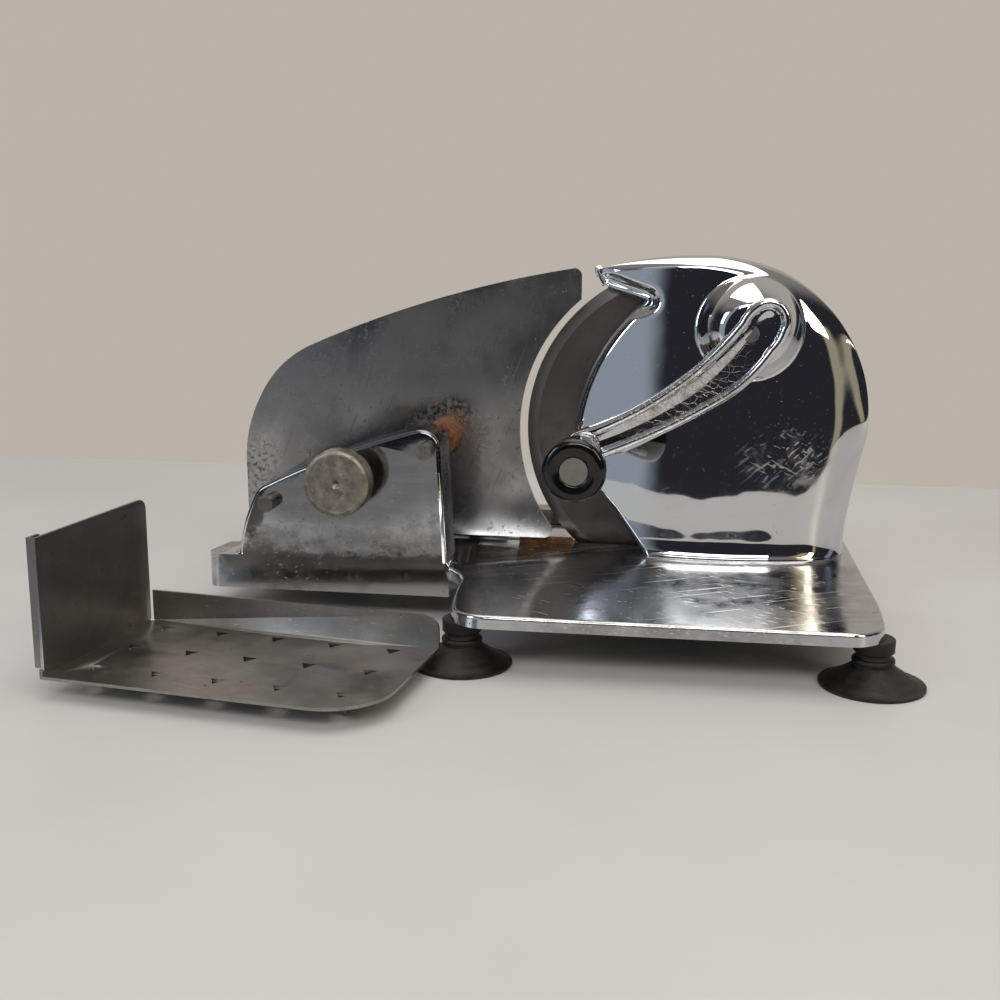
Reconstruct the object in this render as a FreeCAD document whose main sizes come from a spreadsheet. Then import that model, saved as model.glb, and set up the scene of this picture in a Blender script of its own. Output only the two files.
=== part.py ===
import FreeCAD, Part
import math
import os
from types import SimpleNamespace

import Sketcher
from FreeCAD import Placement, Rotation, Vector

# Hand crank slicer. Millimetres, +X to the right, +Y away from the user, +Z up, table at z = 0.
# Every sub-part is drawn in a frame whose x and y are counted from the blade's axis and its cutting
# plane, and blade_x and blade_y carry that frame to the middle of the footprint.
size_table = [
    ("blade_x", 80.5),
    ("blade_y", 59.1),
    # blade and its drive
    ("blade_radius", 84.0),
    ("blade_thickness", 1.6),
    ("blade_edge", 0.3),
    ("blade_bevel", 5.8),
    ("blade_axis_height", 88.0),
    ("hub_flange_radius", 20.0),
    ("hub_flange_thickness", 2.4),
    ("hub_spigot_radius", 8.0),
    ("hub_barrel_radius", 9.0),
    ("hub_barrel_length", 12.6),
    ("rivet_count", 4),
    ("rivet_circle", 14.0),
    ("rivet_radius", 1.6),
    ("rivet_head_radius", 3.0),
    ("rivet_head_height", 1.2),
    ("spindle_radius", 5.0),
    ("running_clearance", 0.05),
    ("end_clearance", 0.3),
    ("gear_module", 1.5),
    ("gear_width", 6.0),
    ("blade_gear_teeth", 43),
    ("crank_gear_teeth", 35),
    ("pressure_angle", 20.0),
    ("gear_backlash", 0.15),
    ("crank_bearing_angle", 63.5),
    ("crank_shaft_radius", 4.0),
    ("bush_radius", 6.5),
    ("gear_collar_radius", 7.0),
    ("screw_head_radius", 8.5),
    ("screw_head_height", 2.2),
    ("screw_shank_radius", 2.5),
    ("screw_slot_width", 1.4),
    ("screw_slot_depth", 1.0),
    # crank arm and grip
    ("crank_angle", 215.9),
    ("crank_length", 95.6),
    ("arm_thickness", 8.0),
    ("arm_clearance", 0.5),
    ("arm_rib_width", 2.6),
    ("arm_rib_height", 1.4),
    ("arm_boss_radius", 8.6),
    ("arm_lane_low", 10.1),
    ("arm_lane_high", 6.5),
    ("arm_boss_height", 3.0),
    ("arm_head_reach", 20.6),
    ("arm_head_low", 14.4),
    ("arm_head_high", 10.7),
    ("arm_belly", 20.0),
    ("arm_belly_way", 26.8),
    ("arm_belly_radius", 75.0),
    ("arm_cheek_way", 4.3),
    ("arm_cheek_radius", 22.0),
    ("arm_chin_way", 14.6),
    ("arm_chin_low", 9.6),
    ("arm_chin_radius", 11.0),
    ("arm_brow_way", 13.2),
    ("arm_brow_radius", 20.0),
    ("arm_nape_way", 1.2),
    ("arm_nape_high", 8.2),
    ("arm_nose_radius", 10.5),
    ("arm_hollow_radius", 158.0),
    ("arm_side_radius", 330.0),
    ("arm_edge_round", 0.9),
    ("grip_length", 63.0),
    ("grip_face_radius", 14.3),
    ("grip_neck_radius", 7.4),
    ("grip_waist_radius", 10.0),
    ("grip_waist_way", 28.4),
    ("grip_side_radius", 90.0),
    ("grip_edge_round", 3.0),
    ("grip_stud_radius", 3.0),
    ("grip_disc_radius", 6.2),
    ("grip_disc_thickness", 1.8),
    # housing
    ("housing_wall", 2.4),
    ("housing_gap", 1.8),
    ("housing_depth", 24.0),
    ("housing_dome_fall", 5.0),
    ("housing_rim_back", 4.0),
    ("housing_blade_gap", 1.8),
    ("housing_cavity_depth", 17.4),
    ("housing_edge_round", 4.2),
    ("housing_left_radius", 60.0),
    ("housing_widest_radius", 59.1),
    ("housing_widest_angle", 178.7),
    ("housing_low_radius", 56.4),
    ("housing_low_angle", 226.0),
    ("housing_hip_gain", 4.4),
    ("housing_hip_angle", -31.0),
    ("housing_hip_curve", 400.0),
    ("housing_rim_angle", -2.0),
    ("housing_side_curve", 82.0),
    ("housing_shoulder_gain", 2.8),
    ("housing_shoulder_angle", 63.7),
    ("housing_shoulder_curve", 104.0),
    ("housing_crown_angle", 89.2),
    ("housing_crown_curve", 172.0),
    ("hook_reach", 48.7),
    ("hook_drop", 7.4),
    ("hook_lip_width", 5.0),
    ("hook_lip_height", 8.8),
    ("hook_root_radius", 70.4),
    ("hook_root_angle", 110.9),
    ("hook_root_curve", 100.0),
    ("housing_foot_left", 23.5),
    ("housing_foot_right", 79.3),
    ("boss_radius", 23.5),
    ("boss_height", 33.0),
    ("boss_flat_radius", 12.0),
    ("small_screw_radius", 2.0),
    ("post_radius", 6.0),
    ("post_height", 12.0),
    ("post_left_x", 2.0),
    ("post_right_x", 62.0),
    ("post_inset", 12.0),
    # base casting
    ("deck_top", 26.8),
    ("deck_thickness", 2.6),
    ("lip_height", 5.7),
    ("skirt_wall", 3.0),
    ("skirt_bottom", 12.3),
    ("plinth_top", 29.2),
    ("plinth_depth", 26.0),
    ("tray_front", 140.0),
    ("tray_right", 84.2),
    ("tray_left", 105.0),
    ("tray_taper_angle", 7.2),
    ("tray_waist", 88.0),
    ("tray_corner_round", 17.0),
    ("arm_front", 66.0),
    ("arm_left", 237.0),
    ("arm_right", 114.3),
    ("arm_corner_round", 7.0),
    ("deck_left", 228.0),
    ("deck_rear", 85.7),
    ("deck_corner_round", 14.0),
    ("lip_round", 1.6),
    ("slot_front", 4.3),
    ("slot_back", 1.2),
    ("slot_left", 125.0),
    ("slot_end_gap", 4.0),
    ("lug_radius", 3.8),
    # bracket on the arm
    ("bracket_depth", 24.0),
    ("bracket_wall", 2.8),
    ("bracket_round", 2.0),
    ("bracket_corner_round", 9.5),
    ("bracket_step", 0.9),
    ("bracket_spread", 17.2),
    ("bracket_side_radius", 80.0),
    ("bracket_top_radius", 400.0),
    ("bracket_peak_way", 5.8),
    ("bracket_peak_rise", 12.1),
    ("bracket_low_peak", 6.3),
    ("bracket_flare", 5.0),
    ("pin_boss_radius", 6.0),
    ("pin_boss_length", 8.0),
    # gauge plate, its pins and its knob
    ("gauge_rest_gap", 9.0),
    ("gauge_thickness", 1.8),
    ("gauge_bottom", 30.5),
    ("gauge_left", 233.8),
    ("gauge_corner_round", 12.0),
    ("gauge_tip_round", 4.0),
    ("gauge_tip_angle", 130.5),
    ("gauge_tip_drop", 11.5),
    ("gauge_top_curve", 559.0),
    ("gauge_shoulder_way", 37.8),
    ("gauge_shoulder_rise", 41.2),
    ("gauge_shoulder_curve", 57.0),
    ("gauge_hip_way", 8.8),
    ("gauge_hip_rise", 13.6),
    ("gauge_hip_curve", 74.0),
    ("gauge_side_drop", 28.0),
    ("gauge_blade_gap", 3.0),
    ("gauge_travel", 8.0),
    ("pin_left_x", 203.1),
    ("pin_left_height", 56.8),
    ("pin_right_x", 125.0),
    ("pin_right_height", 84.7),
    ("pin_radius", 3.75),
    ("pin_front", 74.0),
    ("pin_collar_radius", 8.5),
    ("stud_radius", 3.0),
    ("stud_front", 77.0),
    ("stud_collar_length", 9.0),
    ("knob_radius", 16.0),
    ("knob_thickness", 11.5),
    ("knob_neck_radius", 9.0),
    ("knob_neck_length", 10.2),
    ("knob_bore_depth", 19.7),
    ("knurl_count", 48),
    ("knurl_depth", 0.7),
    ("spring_radius", 5.4),
    ("spring_wire", 1.2),
    ("spring_turns", 6),
    # guide strip and carriage
    ("strip_height", 3.0),
    ("strip_width", 3.0),
    ("strip_slot_gap", 0.3),
    ("strip_reach_left", 17.6),
    ("strip_reach_right", 10.4),
    ("rail_y", 56.0),
    ("rail_left", 222.0),
    ("rail_right", 10.0),
    ("rail_stem_width", 8.0),
    ("rail_stem_height", 3.4),
    ("rail_head_width", 14.0),
    ("rail_head_height", 2.0),
    ("slide_clearance", 0.3),
    ("runner_wall", 2.4),
    ("runner_length", 100.0),
    ("carriage_left", 220.0),
    ("carriage_right", 98.0),
    ("carriage_front", 2.6),
    ("carriage_rear", 84.0),
    ("carriage_sheet", 1.5),
    ("carriage_fence_height", 64.0),
    ("carriage_fence_round", 22.0),
    ("carriage_corner_round", 10.0),
    # suction cups
    ("cup_radius", 22.2),
    ("cup_rim", 1.2),
    ("cup_shoulder_height", 9.4),
    ("cup_neck_radius", 8.6),
    ("cup_groove_radius", 7.2),
    ("cup_groove_low", 12.4),
    ("cup_groove_high", 15.2),
    ("cup_hollow_height", 4.6),
    ("cup_stud_radius", 2.5),
    ("cup_stud_bottom", 13.0),
    ("cup_front_y", 124.7),
    ("cup_rear_y", 70.0),
    ("cup_front_left_x", 97.7),
    ("cup_front_right_x", 78.0),
    ("cup_rear_left_x", 205.0),
    ("cup_rear_right_x", 62.0),
    # food pusher
    ("pusher_x", 183.0),
    ("pusher_y", 161.4),
    ("pusher_turn", -7.75),
    ("pusher_sheet", 1.3),
    ("pusher_left", 70.4),
    ("pusher_right", 72.3),
    ("pusher_front", 43.0),
    ("pusher_back", 39.0),
    ("pusher_corner_round", 27.0),
    ("pusher_end_height", 66.8),
    ("pusher_fence_height", 23.8),
    ("pusher_fence_round", 6.5),
    ("pusher_end_round", 5.0),
    ("hem_gap", 1.6),
    ("hem_return", 7.0),
    ("hem_bottom", 12.6),
    ("hem_setback", 1.4),
    ("tooth_pitch", 27.2),
    ("tooth_columns", 5),
    ("tooth_rows", 3),
    ("tooth_width", 7.8),
    ("tooth_hole_length", 6.8),
    ("tooth_drop", 8.4),
    ("relief_radius", 2.0),
]


class Size:
    """A size of the sheet, or one worked out from such sizes, with its formula as text."""

    def __init__(self, number, formula):
        self.number = number
        self.formula = formula

    def joined(self, other, sign, number):
        return Size(number, f"({self.formula} {sign} {other.formula})")

    def __add__(self, other):
        other = as_size(other)
        return self.joined(other, "+", self.number + other.number)

    def __radd__(self, other):
        return as_size(other) + self

    def __sub__(self, other):
        other = as_size(other)
        return self.joined(other, "-", self.number - other.number)

    def __rsub__(self, other):
        return as_size(other) - self

    def __mul__(self, other):
        other = as_size(other)
        return self.joined(other, "*", self.number * other.number)

    def __rmul__(self, other):
        return as_size(other) * self

    def __truediv__(self, other):
        other = as_size(other)
        return self.joined(other, "/", self.number / other.number)

    def __neg__(self):
        return as_size(0.0) - self


def as_size(value):
    if isinstance(value, Size):
        return value
    text = f"{float(value):.6f}"
    return Size(float(value), f"({text})" if value < 0 else text)


def cosine(angle):
    angle = as_size(angle)
    return Size(math.cos(math.radians(angle.number)), f"cos({angle.formula} * 1deg)")


def sine(angle):
    angle = as_size(angle)
    return Size(math.sin(math.radians(angle.number)), f"sin({angle.formula} * 1deg)")


def root(value):
    return Size(math.sqrt(value.number), f"sqrt({value.formula})")


def around(radius, angle):
    """The two coordinates of a point at a radius and an angle in degrees."""
    return radius * cosine(angle), radius * sine(angle)


doc = FreeCAD.newDocument("slicer")
sheet = doc.addObject("Spreadsheet::Sheet", "Sizes")
for row, (alias, value) in enumerate(size_table, start=1):
    sheet.set(f"A{row}", alias)
    sheet.set(f"B{row}", str(value))
    sheet.setAlias(f"B{row}", alias)
doc.recompute()
s = SimpleNamespace(**{alias: Size(float(sheet.get(alias)), f"Sizes.{alias}") for alias, _ in size_table})
sub_parts = []

# ---- shared places -------------------------------------------------------------------------------
deck_under = s.deck_top - s.deck_thickness
lip_bottom = s.deck_top - s.lip_height
foot_level = s.deck_top - s.blade_axis_height
rim_inner = s.blade_radius + s.housing_gap
rim_outer = rim_inner + s.housing_wall
blade_gear_pitch = s.gear_module * s.blade_gear_teeth / 2
crank_gear_pitch = s.gear_module * s.crank_gear_teeth / 2
gear_centres = blade_gear_pitch + crank_gear_pitch
crank_x, crank_rise = around(gear_centres, s.crank_bearing_angle)
crank_height = s.blade_axis_height + crank_rise
grip_dx, grip_dz = around(s.crank_length, s.crank_angle)
grip_x = crank_x + grip_dx
grip_height = crank_height + grip_dz
gear_back = s.blade_thickness + s.hub_flange_thickness
gear_front = gear_back + s.gear_width
root_depth = 1.25
post_hole_depth = s.post_height - 2
arm_back = s.boss_height + s.arm_clearance
arm_face = arm_back + s.arm_thickness
arm_boss_face = arm_face + s.arm_boss_height
arm_shaft_depth = s.arm_thickness * 2 / 3
arm_stud_depth = s.arm_thickness / 2
grip_back = arm_boss_face + s.end_clearance
grip_face = grip_back + s.grip_length
gauge_front = s.gauge_rest_gap + s.gauge_thickness
stud_x = (s.pin_left_x + s.pin_right_x) / 2
stud_height = (s.pin_left_height + s.pin_right_height) / 2
bracket_back = s.arm_front - s.bracket_depth
pin_collar_length = bracket_back - gauge_front - s.gauge_travel - s.end_clearance * 2
rail_top = s.deck_top + s.rail_stem_height + s.rail_head_height
runner_top = rail_top + s.slide_clearance + s.runner_wall
floor_under = s.tooth_drop
floor_top = floor_under + s.pusher_sheet


# ---- drawing helpers -----------------------------------------------------------------------------
def new_body(label, x=0, y=0, z=0, turn=None, axis=Vector(0, 0, 1)):
    body = doc.addObject("PartDesign::Body", label)
    body.Label = label
    place(body, x, y, z, turn, axis)
    sub_parts.append(body)
    return body


def place(item, x, y, z, turn=None, axis=Vector(0, 0, 1)):
    """Binds a placement to blade-frame coordinates and, where given, a turn about an axis."""
    base_x = s.blade_x + x
    base_y = s.blade_y + y
    base_z = as_size(z)
    angle = turn.number if turn else 0.0
    item.Placement = Placement(Vector(base_x.number, base_y.number, base_z.number), Rotation(axis, angle))
    item.setExpression(".Placement.Base.x", base_x.formula)
    item.setExpression(".Placement.Base.y", base_y.formula)
    item.setExpression(".Placement.Base.z", base_z.formula)
    if turn:
        item.setExpression(".Placement.Rotation.Angle", turn.formula)


def new_sketch(body, name, plane, lift=None, shift=None):
    """A sketch on one of the body's own origin planes, lifted along the plane's normal."""
    sketch = body.newObject("Sketcher::SketchObject", f"{body.Name}_{name}")
    support = [item for item in body.Origin.OriginFeatures if item.Role == plane][0]
    sketch.AttachmentSupport = [(support, "")]
    sketch.MapMode = "FlatFace"
    if lift is not None:
        lift = as_size(lift)
        sketch.AttachmentOffset = Placement(Vector(0, 0, lift.number), Rotation())
        sketch.setExpression(".AttachmentOffset.Base.z", lift.formula)
    if shift is not None:
        sketch.setExpression(".AttachmentOffset.Base.x", as_size(shift[0]).formula)
        sketch.setExpression(".AttachmentOffset.Base.y", as_size(shift[1]).formula)
    return sketch


def bind(sketch, index, size):
    sketch.setExpression(f"Constraints[{index}]", size.formula)


def pin_point(sketch, geometry, end, u, v):
    for kind, size in (("DistanceX", u), ("DistanceY", v)):
        index = sketch.addConstraint(Sketcher.Constraint(kind, -1, 1, geometry, end, size.number))
        bind(sketch, index, size)


def draw_circle(sketch, u, v, radius):
    u, v, radius = as_size(u), as_size(v), as_size(radius)
    circle = Part.Circle(Vector(u.number, v.number, 0), Vector(0, 0, 1), radius.number)
    geometry = sketch.addGeometry(circle, False)
    index = sketch.addConstraint(Sketcher.Constraint("Radius", geometry, radius.number))
    bind(sketch, index, radius)
    pin_point(sketch, geometry, 3, u, v)


def draw_loop(sketch, corners):
    """A closed outline. (u, v) is followed by a line; (u, v, radius) by an arc to the next corner,
    which turns left for a positive radius and right for a negative one."""
    points = [(as_size(corner[0]), as_size(corner[1])) for corner in corners]
    ends = []
    for number, corner in enumerate(corners):
        start = Vector(points[number][0].number, points[number][1].number, 0)
        following = points[(number + 1) % len(points)]
        stop = Vector(following[0].number, following[1].number, 0)
        if len(corner) == 2:
            geometry = sketch.addGeometry(Part.LineSegment(start, stop), False)
            ends.append((geometry, 1, 2))
            continue
        radius = as_size(corner[2])
        left_turn = radius.number > 0
        reach = abs(radius.number)
        chord = stop - start
        side = Vector(-chord.y, chord.x, 0).normalize()
        rise = math.sqrt(max(reach ** 2 - chord.Length ** 2 / 4, 0.0))
        centre = (start + stop) / 2 + side * (rise if left_turn else -rise)
        first, last = (start, stop) if left_turn else (stop, start)
        from_angle = math.atan2(first.y - centre.y, first.x - centre.x)
        to_angle = math.atan2(last.y - centre.y, last.x - centre.x)
        circle = Part.Circle(centre, Vector(0, 0, 1), reach)
        geometry = sketch.addGeometry(Part.ArcOfCircle(circle, from_angle, to_angle), False)
        index = sketch.addConstraint(Sketcher.Constraint("Radius", geometry, reach))
        bind(sketch, index, radius if left_turn else -radius)
        ends.append((geometry, 1, 2) if left_turn else (geometry, 2, 1))
    for number, (geometry, first_end, last_end) in enumerate(ends):
        next_geometry, next_first, _ = ends[(number + 1) % len(ends)]
        joint = Sketcher.Constraint("Coincident", geometry, last_end, next_geometry, next_first)
        sketch.addConstraint(joint)
        pin_point(sketch, geometry, first_end, *points[number])


def box_loop(left, right, low, high):
    return [(left, low), (right, low), (right, high), (left, high)]


def extrude(body, sketch, kind, name, length, backwards=False):
    feature = body.newObject(f"PartDesign::{kind}", f"{body.Name}_{name}")
    feature.Profile = sketch
    length = as_size(length)
    feature.Length = length.number
    feature.setExpression("Length", length.formula)
    feature.Reversed = backwards
    return feature


def pad(body, sketch, name, length, backwards=False):
    return extrude(body, sketch, "Pad", name, length, backwards)


def cut(body, sketch, name, length, backwards=False):
    return extrude(body, sketch, "Pocket", name, length, backwards)


def revolve(body, sketch, kind, name, axis="V_Axis"):
    feature = body.newObject(f"PartDesign::{kind}", f"{body.Name}_{name}")
    feature.Profile = sketch
    feature.ReferenceAxis = (sketch, [axis])
    feature.Angle = 360
    return feature


def turned(label, outline, x, z, upright=False):
    """A turned piece. Its outline is (radius, way) about the Y axis, or about Z if upright."""
    body = new_body(label, x, 0, z)
    sketch = new_sketch(body, "outline", "XZ_Plane" if upright else "XY_Plane")
    draw_loop(sketch, outline)
    revolve(body, sketch, "Revolution", "turn")
    return body


def edge_names(shape, wanted):
    names = [f"Edge{index}" for index, edge in enumerate(shape.Edges, start=1) if wanted(edge)]
    if not names:
        raise ValueError("no edge fits the rule")
    return names


def edges_along(shape, axis, corners):
    """The straight edges along an axis that stand over the given corners, as in (x, y) for Z."""
    others = [name for name in "XYZ" if name != axis]
    feet = [[as_size(value).number for value in corner[:2]] for corner in corners]

    def wanted(edge):
        box = edge.BoundBox
        if any(getattr(box, f"{name}Length") > 0.01 for name in others):
            return False
        stand = [getattr(box, f"{name}Min") for name in others]
        return any(math.dist(stand, corner) < 0.5 for corner in feet)
    return edge_names(shape, wanted)


def round_edges(body, name, radius, names, kind="Fillet"):
    base = body.Tip
    feature = body.newObject(f"PartDesign::{kind}", f"{body.Name}_{name}")
    feature.Base = (base, names)
    if kind == "Fillet":
        feature.setExpression("Radius", radius.formula)
    else:
        feature.setExpression("Size", radius.formula)
    doc.recompute()
    return feature


def compound(label, members):
    group = doc.addObject("Part::Compound", label)
    group.Label = label
    group.Links = members
    sub_parts.append(group)
    return group


def rod(name, radius, length, x, y, z, way):
    """A cylinder from (x, y, z) along one of the ways front, back, up or down."""
    turns = {
        "front": Rotation(Vector(1, 0, 0), 90),
        "back": Rotation(Vector(1, 0, 0), -90),
        "up": Rotation(),
        "down": Rotation(Vector(1, 0, 0), 180),
    }
    item = doc.addObject("Part::Cylinder", name)
    item.setExpression("Radius", as_size(radius).formula)
    item.setExpression("Height", as_size(length).formula)
    place(item, x, y, z)
    item.Placement = Placement(item.Placement.Base, turns[way])
    return item


# ---- blade, hub and gears ------------------------------------------------------------------------
def build_blade():
    radius, back = s.blade_radius, s.blade_thickness
    outline = [
        (s.hub_spigot_radius, 0),
        (s.hub_spigot_radius, -back),
        (radius - s.blade_bevel, -back),
        (radius, -s.blade_edge),
        (radius, 0),
    ]
    body = turned("blade", outline, 0, s.blade_axis_height)
    drill_rivet_holes(body)


def drill_rivet_holes(body):
    sketch = new_sketch(body, "rivet_hole", "XZ_Plane")
    draw_circle(sketch, s.rivet_circle, 0, s.rivet_radius)
    hole = cut(body, sketch, "rivet_cut", gear_front, True)
    doc.recompute()
    pattern = body.newObject("PartDesign::PolarPattern", f"{body.Name}_rivet_holes")
    pattern.Originals = [hole]
    pattern.Axis = (sketch, ["N_Axis"])
    pattern.Angle = 360
    pattern.setExpression("Occurrences", s.rivet_count.formula)
    body.Tip = pattern


def build_hub():
    bore = s.spindle_radius + s.running_clearance
    flange_back = s.blade_thickness
    flange_front = gear_back
    barrel_front = flange_front + s.hub_barrel_length
    outline = [
        (bore, 0),
        (bore, -barrel_front),
        (s.hub_barrel_radius, -barrel_front),
        (s.hub_barrel_radius, -flange_front),
        (s.hub_flange_radius, -flange_front),
        (s.hub_flange_radius, -flange_back),
        (s.hub_spigot_radius, -flange_back),
        (s.hub_spigot_radius, 0),
    ]
    body = turned("blade_hub", outline, 0, s.blade_axis_height)
    drill_rivet_holes(body)


def build_rivets():
    members = []
    for number in range(int(s.rivet_count.number)):
        angle = as_size(360.0 * number) / s.rivet_count
        dx, dz = around(s.rivet_circle, angle)
        height = s.blade_axis_height + dz
        members.append(rod(f"rivet_shank_{number}", s.rivet_radius, gear_back, dx, 0, height, "front"))
    compound("hub_rivets", members)


def gear_point(radius, angle):
    return Vector(radius * math.cos(angle), -gear_back.number, radius * math.sin(angle))


def involute_point(base_radius, radius, start_angle, side):
    """Point of an involute of a base circle, where radius = base / cos(pressure)."""
    pressure = math.acos(min(base_radius / radius, 1.0))
    return gear_point(radius, start_angle + side * (math.tan(pressure) - pressure))


def gear_outline(teeth, pitch_radius):
    """A spur gear outline with involute flanks; one tooth is centred on the first axis."""
    module = s.gear_module.number
    pressure = math.radians(s.pressure_angle.number)
    base = pitch_radius * math.cos(pressure)
    tip = pitch_radius + module
    bottom = pitch_radius - root_depth * module
    spread = math.tan(pressure) - pressure
    half_tooth = math.pi / (2 * teeth) - s.gear_backlash.number / (2 * pitch_radius)
    low = max(base, bottom)
    stations = (low, (low + tip) / 2, tip)
    edges = []
    feet = []
    for number in range(teeth):
        middle = 2 * math.pi * number / teeth
        starts = [middle - half_tooth - spread, middle + half_tooth + spread]
        entry = [involute_point(base, radius, starts[0], 1) for radius in stations]
        leave = [involute_point(base, radius, starts[1], -1) for radius in reversed(stations)]
        foot_in, foot_out = entry[0], leave[2]
        if low > bottom:
            foot_in, foot_out = (gear_point(bottom, start) for start in starts)
            edges.append(Part.makeLine(foot_in, entry[0]))
            edges.append(Part.makeLine(leave[2], foot_out))
        edges.append(Part.Arc(*entry).toShape())
        edges.append(Part.Arc(entry[2], gear_point(tip, middle), leave[0]).toShape())
        edges.append(Part.Arc(*leave).toShape())
        feet.append((foot_in, foot_out))
    for number, (_, foot_out) in enumerate(feet):
        edges.append(Part.makeLine(foot_out, feet[(number + 1) % teeth][0]))
    return Part.Wire(Part.sortEdges(edges)[0])


def build_gear(label, teeth, pitch, bore, x, z, phase, collar=None):
    """A gear whose width runs forward from gear_back, turned so that it is in mesh."""
    front = Vector(0, -1, 0)
    back = Vector(0, -gear_back.number, 0)
    width = s.gear_width.number
    toothed = Part.Face(gear_outline(int(teeth.number), pitch.number)).extrude(front * width)
    reach = width
    if collar:
        reach = width + collar.number
        toothed = toothed.fuse(Part.makeCylinder(s.gear_collar_radius.number, reach, back, front))
    gear = doc.addObject("Part::Feature", label)
    gear.Label = label
    gear.Shape = toothed.cut(Part.makeCylinder(bore.number, reach, back, front))
    place(gear, x, 0, z, phase, front)
    sub_parts.append(gear)


def build_gears():
    half_turn = as_size(180.0)
    build_gear("blade_gear", s.blade_gear_teeth, blade_gear_pitch, s.hub_barrel_radius,
               0, s.blade_axis_height, s.crank_bearing_angle)
    phase = s.crank_bearing_angle + half_turn + half_turn / s.crank_gear_teeth
    collar = s.housing_cavity_depth - gear_front - s.end_clearance
    build_gear("crank_gear", s.crank_gear_teeth, crank_gear_pitch, s.crank_shaft_radius,
               crank_x, crank_height, phase, collar)


def build_spindle():
    front = s.housing_depth - s.housing_wall
    back = s.end_clearance
    outline = [
        (s.screw_shank_radius, back),
        (s.screw_shank_radius, back - s.hub_barrel_length),
        (0, back - s.hub_barrel_length),
        (0, -front),
        (s.spindle_radius, -front),
        (s.spindle_radius, back),
    ]
    turned("blade_spindle", outline, 0, s.blade_axis_height)
    back = s.end_clearance
    head = [
        (0, back + s.screw_head_height),
        (0, back - s.hub_barrel_length + s.end_clearance),
        (s.screw_shank_radius, back - s.hub_barrel_length + s.end_clearance),
        (s.screw_shank_radius, back),
        (s.screw_head_radius, back),
        (s.screw_head_radius, back + s.screw_head_height / 3, s.screw_head_radius * 3),
    ]
    body = turned("blade_screw", head, 0, s.blade_axis_height)
    sketch = new_sketch(body, "slot", "XZ_Plane", -(back + s.screw_head_height))
    half = s.screw_slot_width / 2
    draw_loop(sketch, box_loop(-s.screw_head_radius, s.screw_head_radius, -half, half))
    cut(body, sketch, "slot_cut", s.screw_slot_depth, True)


def build_crank_shaft():
    rod_length = arm_back + arm_shaft_depth - gear_back
    shaft = rod("crank_shaft", s.crank_shaft_radius, rod_length, crank_x, -gear_back, crank_height, "front")
    shaft.Label = "crank_shaft"
    sub_parts.append(shaft)
    outline = [
        (s.crank_shaft_radius + s.running_clearance, -s.housing_cavity_depth),
        (s.crank_shaft_radius + s.running_clearance, -s.boss_height),
        (s.bush_radius, -s.boss_height),
        (s.bush_radius, -s.housing_cavity_depth),
    ]
    turned("crank_bush", outline, crank_x, crank_height)


# ---- crank arm and grip --------------------------------------------------------------------------
def arm_head(inset):
    """The swelling lower edge and the round head, from the belly to the start of the hollow edge.
    Each point steps inward along its own normal, and each arc's radius shrinks with it."""
    points = [
        (s.arm_belly_way, s.arm_belly, s.arm_belly_radius, 84),
        (-s.arm_cheek_way, s.arm_head_low, s.arm_cheek_radius, 110),
        (-s.arm_chin_way, s.arm_chin_low, s.arm_chin_radius, 129),
        (-s.arm_head_reach, 0, s.arm_nose_radius, 180),
        (-s.arm_brow_way, -s.arm_head_high, s.arm_brow_radius, 240),
        (s.arm_nape_way, -s.arm_nape_high, -s.arm_hollow_radius, 290),
    ]
    return [(u - inset * cosine(normal), v - inset * sine(normal), radius - inset)
            for u, v, radius, normal in points]


def build_crank_arm():
    """Seen in a frame with the shaft at its origin and its first axis towards the grip."""
    body = new_body("crank_arm", crank_x, 0, crank_height, s.crank_angle, Vector(0, -1, 0))
    length = s.crank_length
    near = s.arm_boss_radius
    sketch = new_sketch(body, "outline", "XZ_Plane", arm_back)
    grip_end = [(length, -near, near), (length + near, 0, near), (length, near, s.arm_side_radius)]
    draw_loop(sketch, grip_end + arm_head(as_size(0.0)))
    pad(body, sketch, "bar", s.arm_thickness)
    doc.recompute()
    face = arm_face.number
    names = edge_names(body.Tip.Shape, lambda edge: edge.BoundBox.YMax < -face + 0.1)
    round_edges(body, "front_round", s.arm_edge_round, names)
    recess = new_sketch(body, "recess", "XZ_Plane", arm_face)
    rib = s.arm_rib_width
    lane_start = length - near
    low_side = s.arm_lane_low - rib
    high_side = s.arm_lane_high - rib
    lane = [(lane_start, -high_side), (lane_start, low_side, s.arm_side_radius)]
    draw_loop(recess, lane + arm_head(rib))
    cut(body, recess, "recess_cut", s.arm_rib_height)
    boss = new_sketch(body, "boss", "XZ_Plane", arm_face - s.arm_rib_height)
    draw_circle(boss, length, 0, near - s.arm_edge_round)
    pad(body, boss, "boss_pad", s.arm_boss_height + s.arm_rib_height)
    bores = new_sketch(body, "shaft_bore", "XZ_Plane", arm_back)
    draw_circle(bores, 0, 0, s.crank_shaft_radius)
    cut(body, bores, "shaft_bore_cut", arm_shaft_depth, True)
    stud_bore = new_sketch(body, "stud_bore", "XZ_Plane", arm_boss_face)
    draw_circle(stud_bore, length, 0, s.grip_stud_radius)
    cut(body, stud_bore, "stud_bore_cut", s.arm_boss_height + arm_stud_depth)


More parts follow.
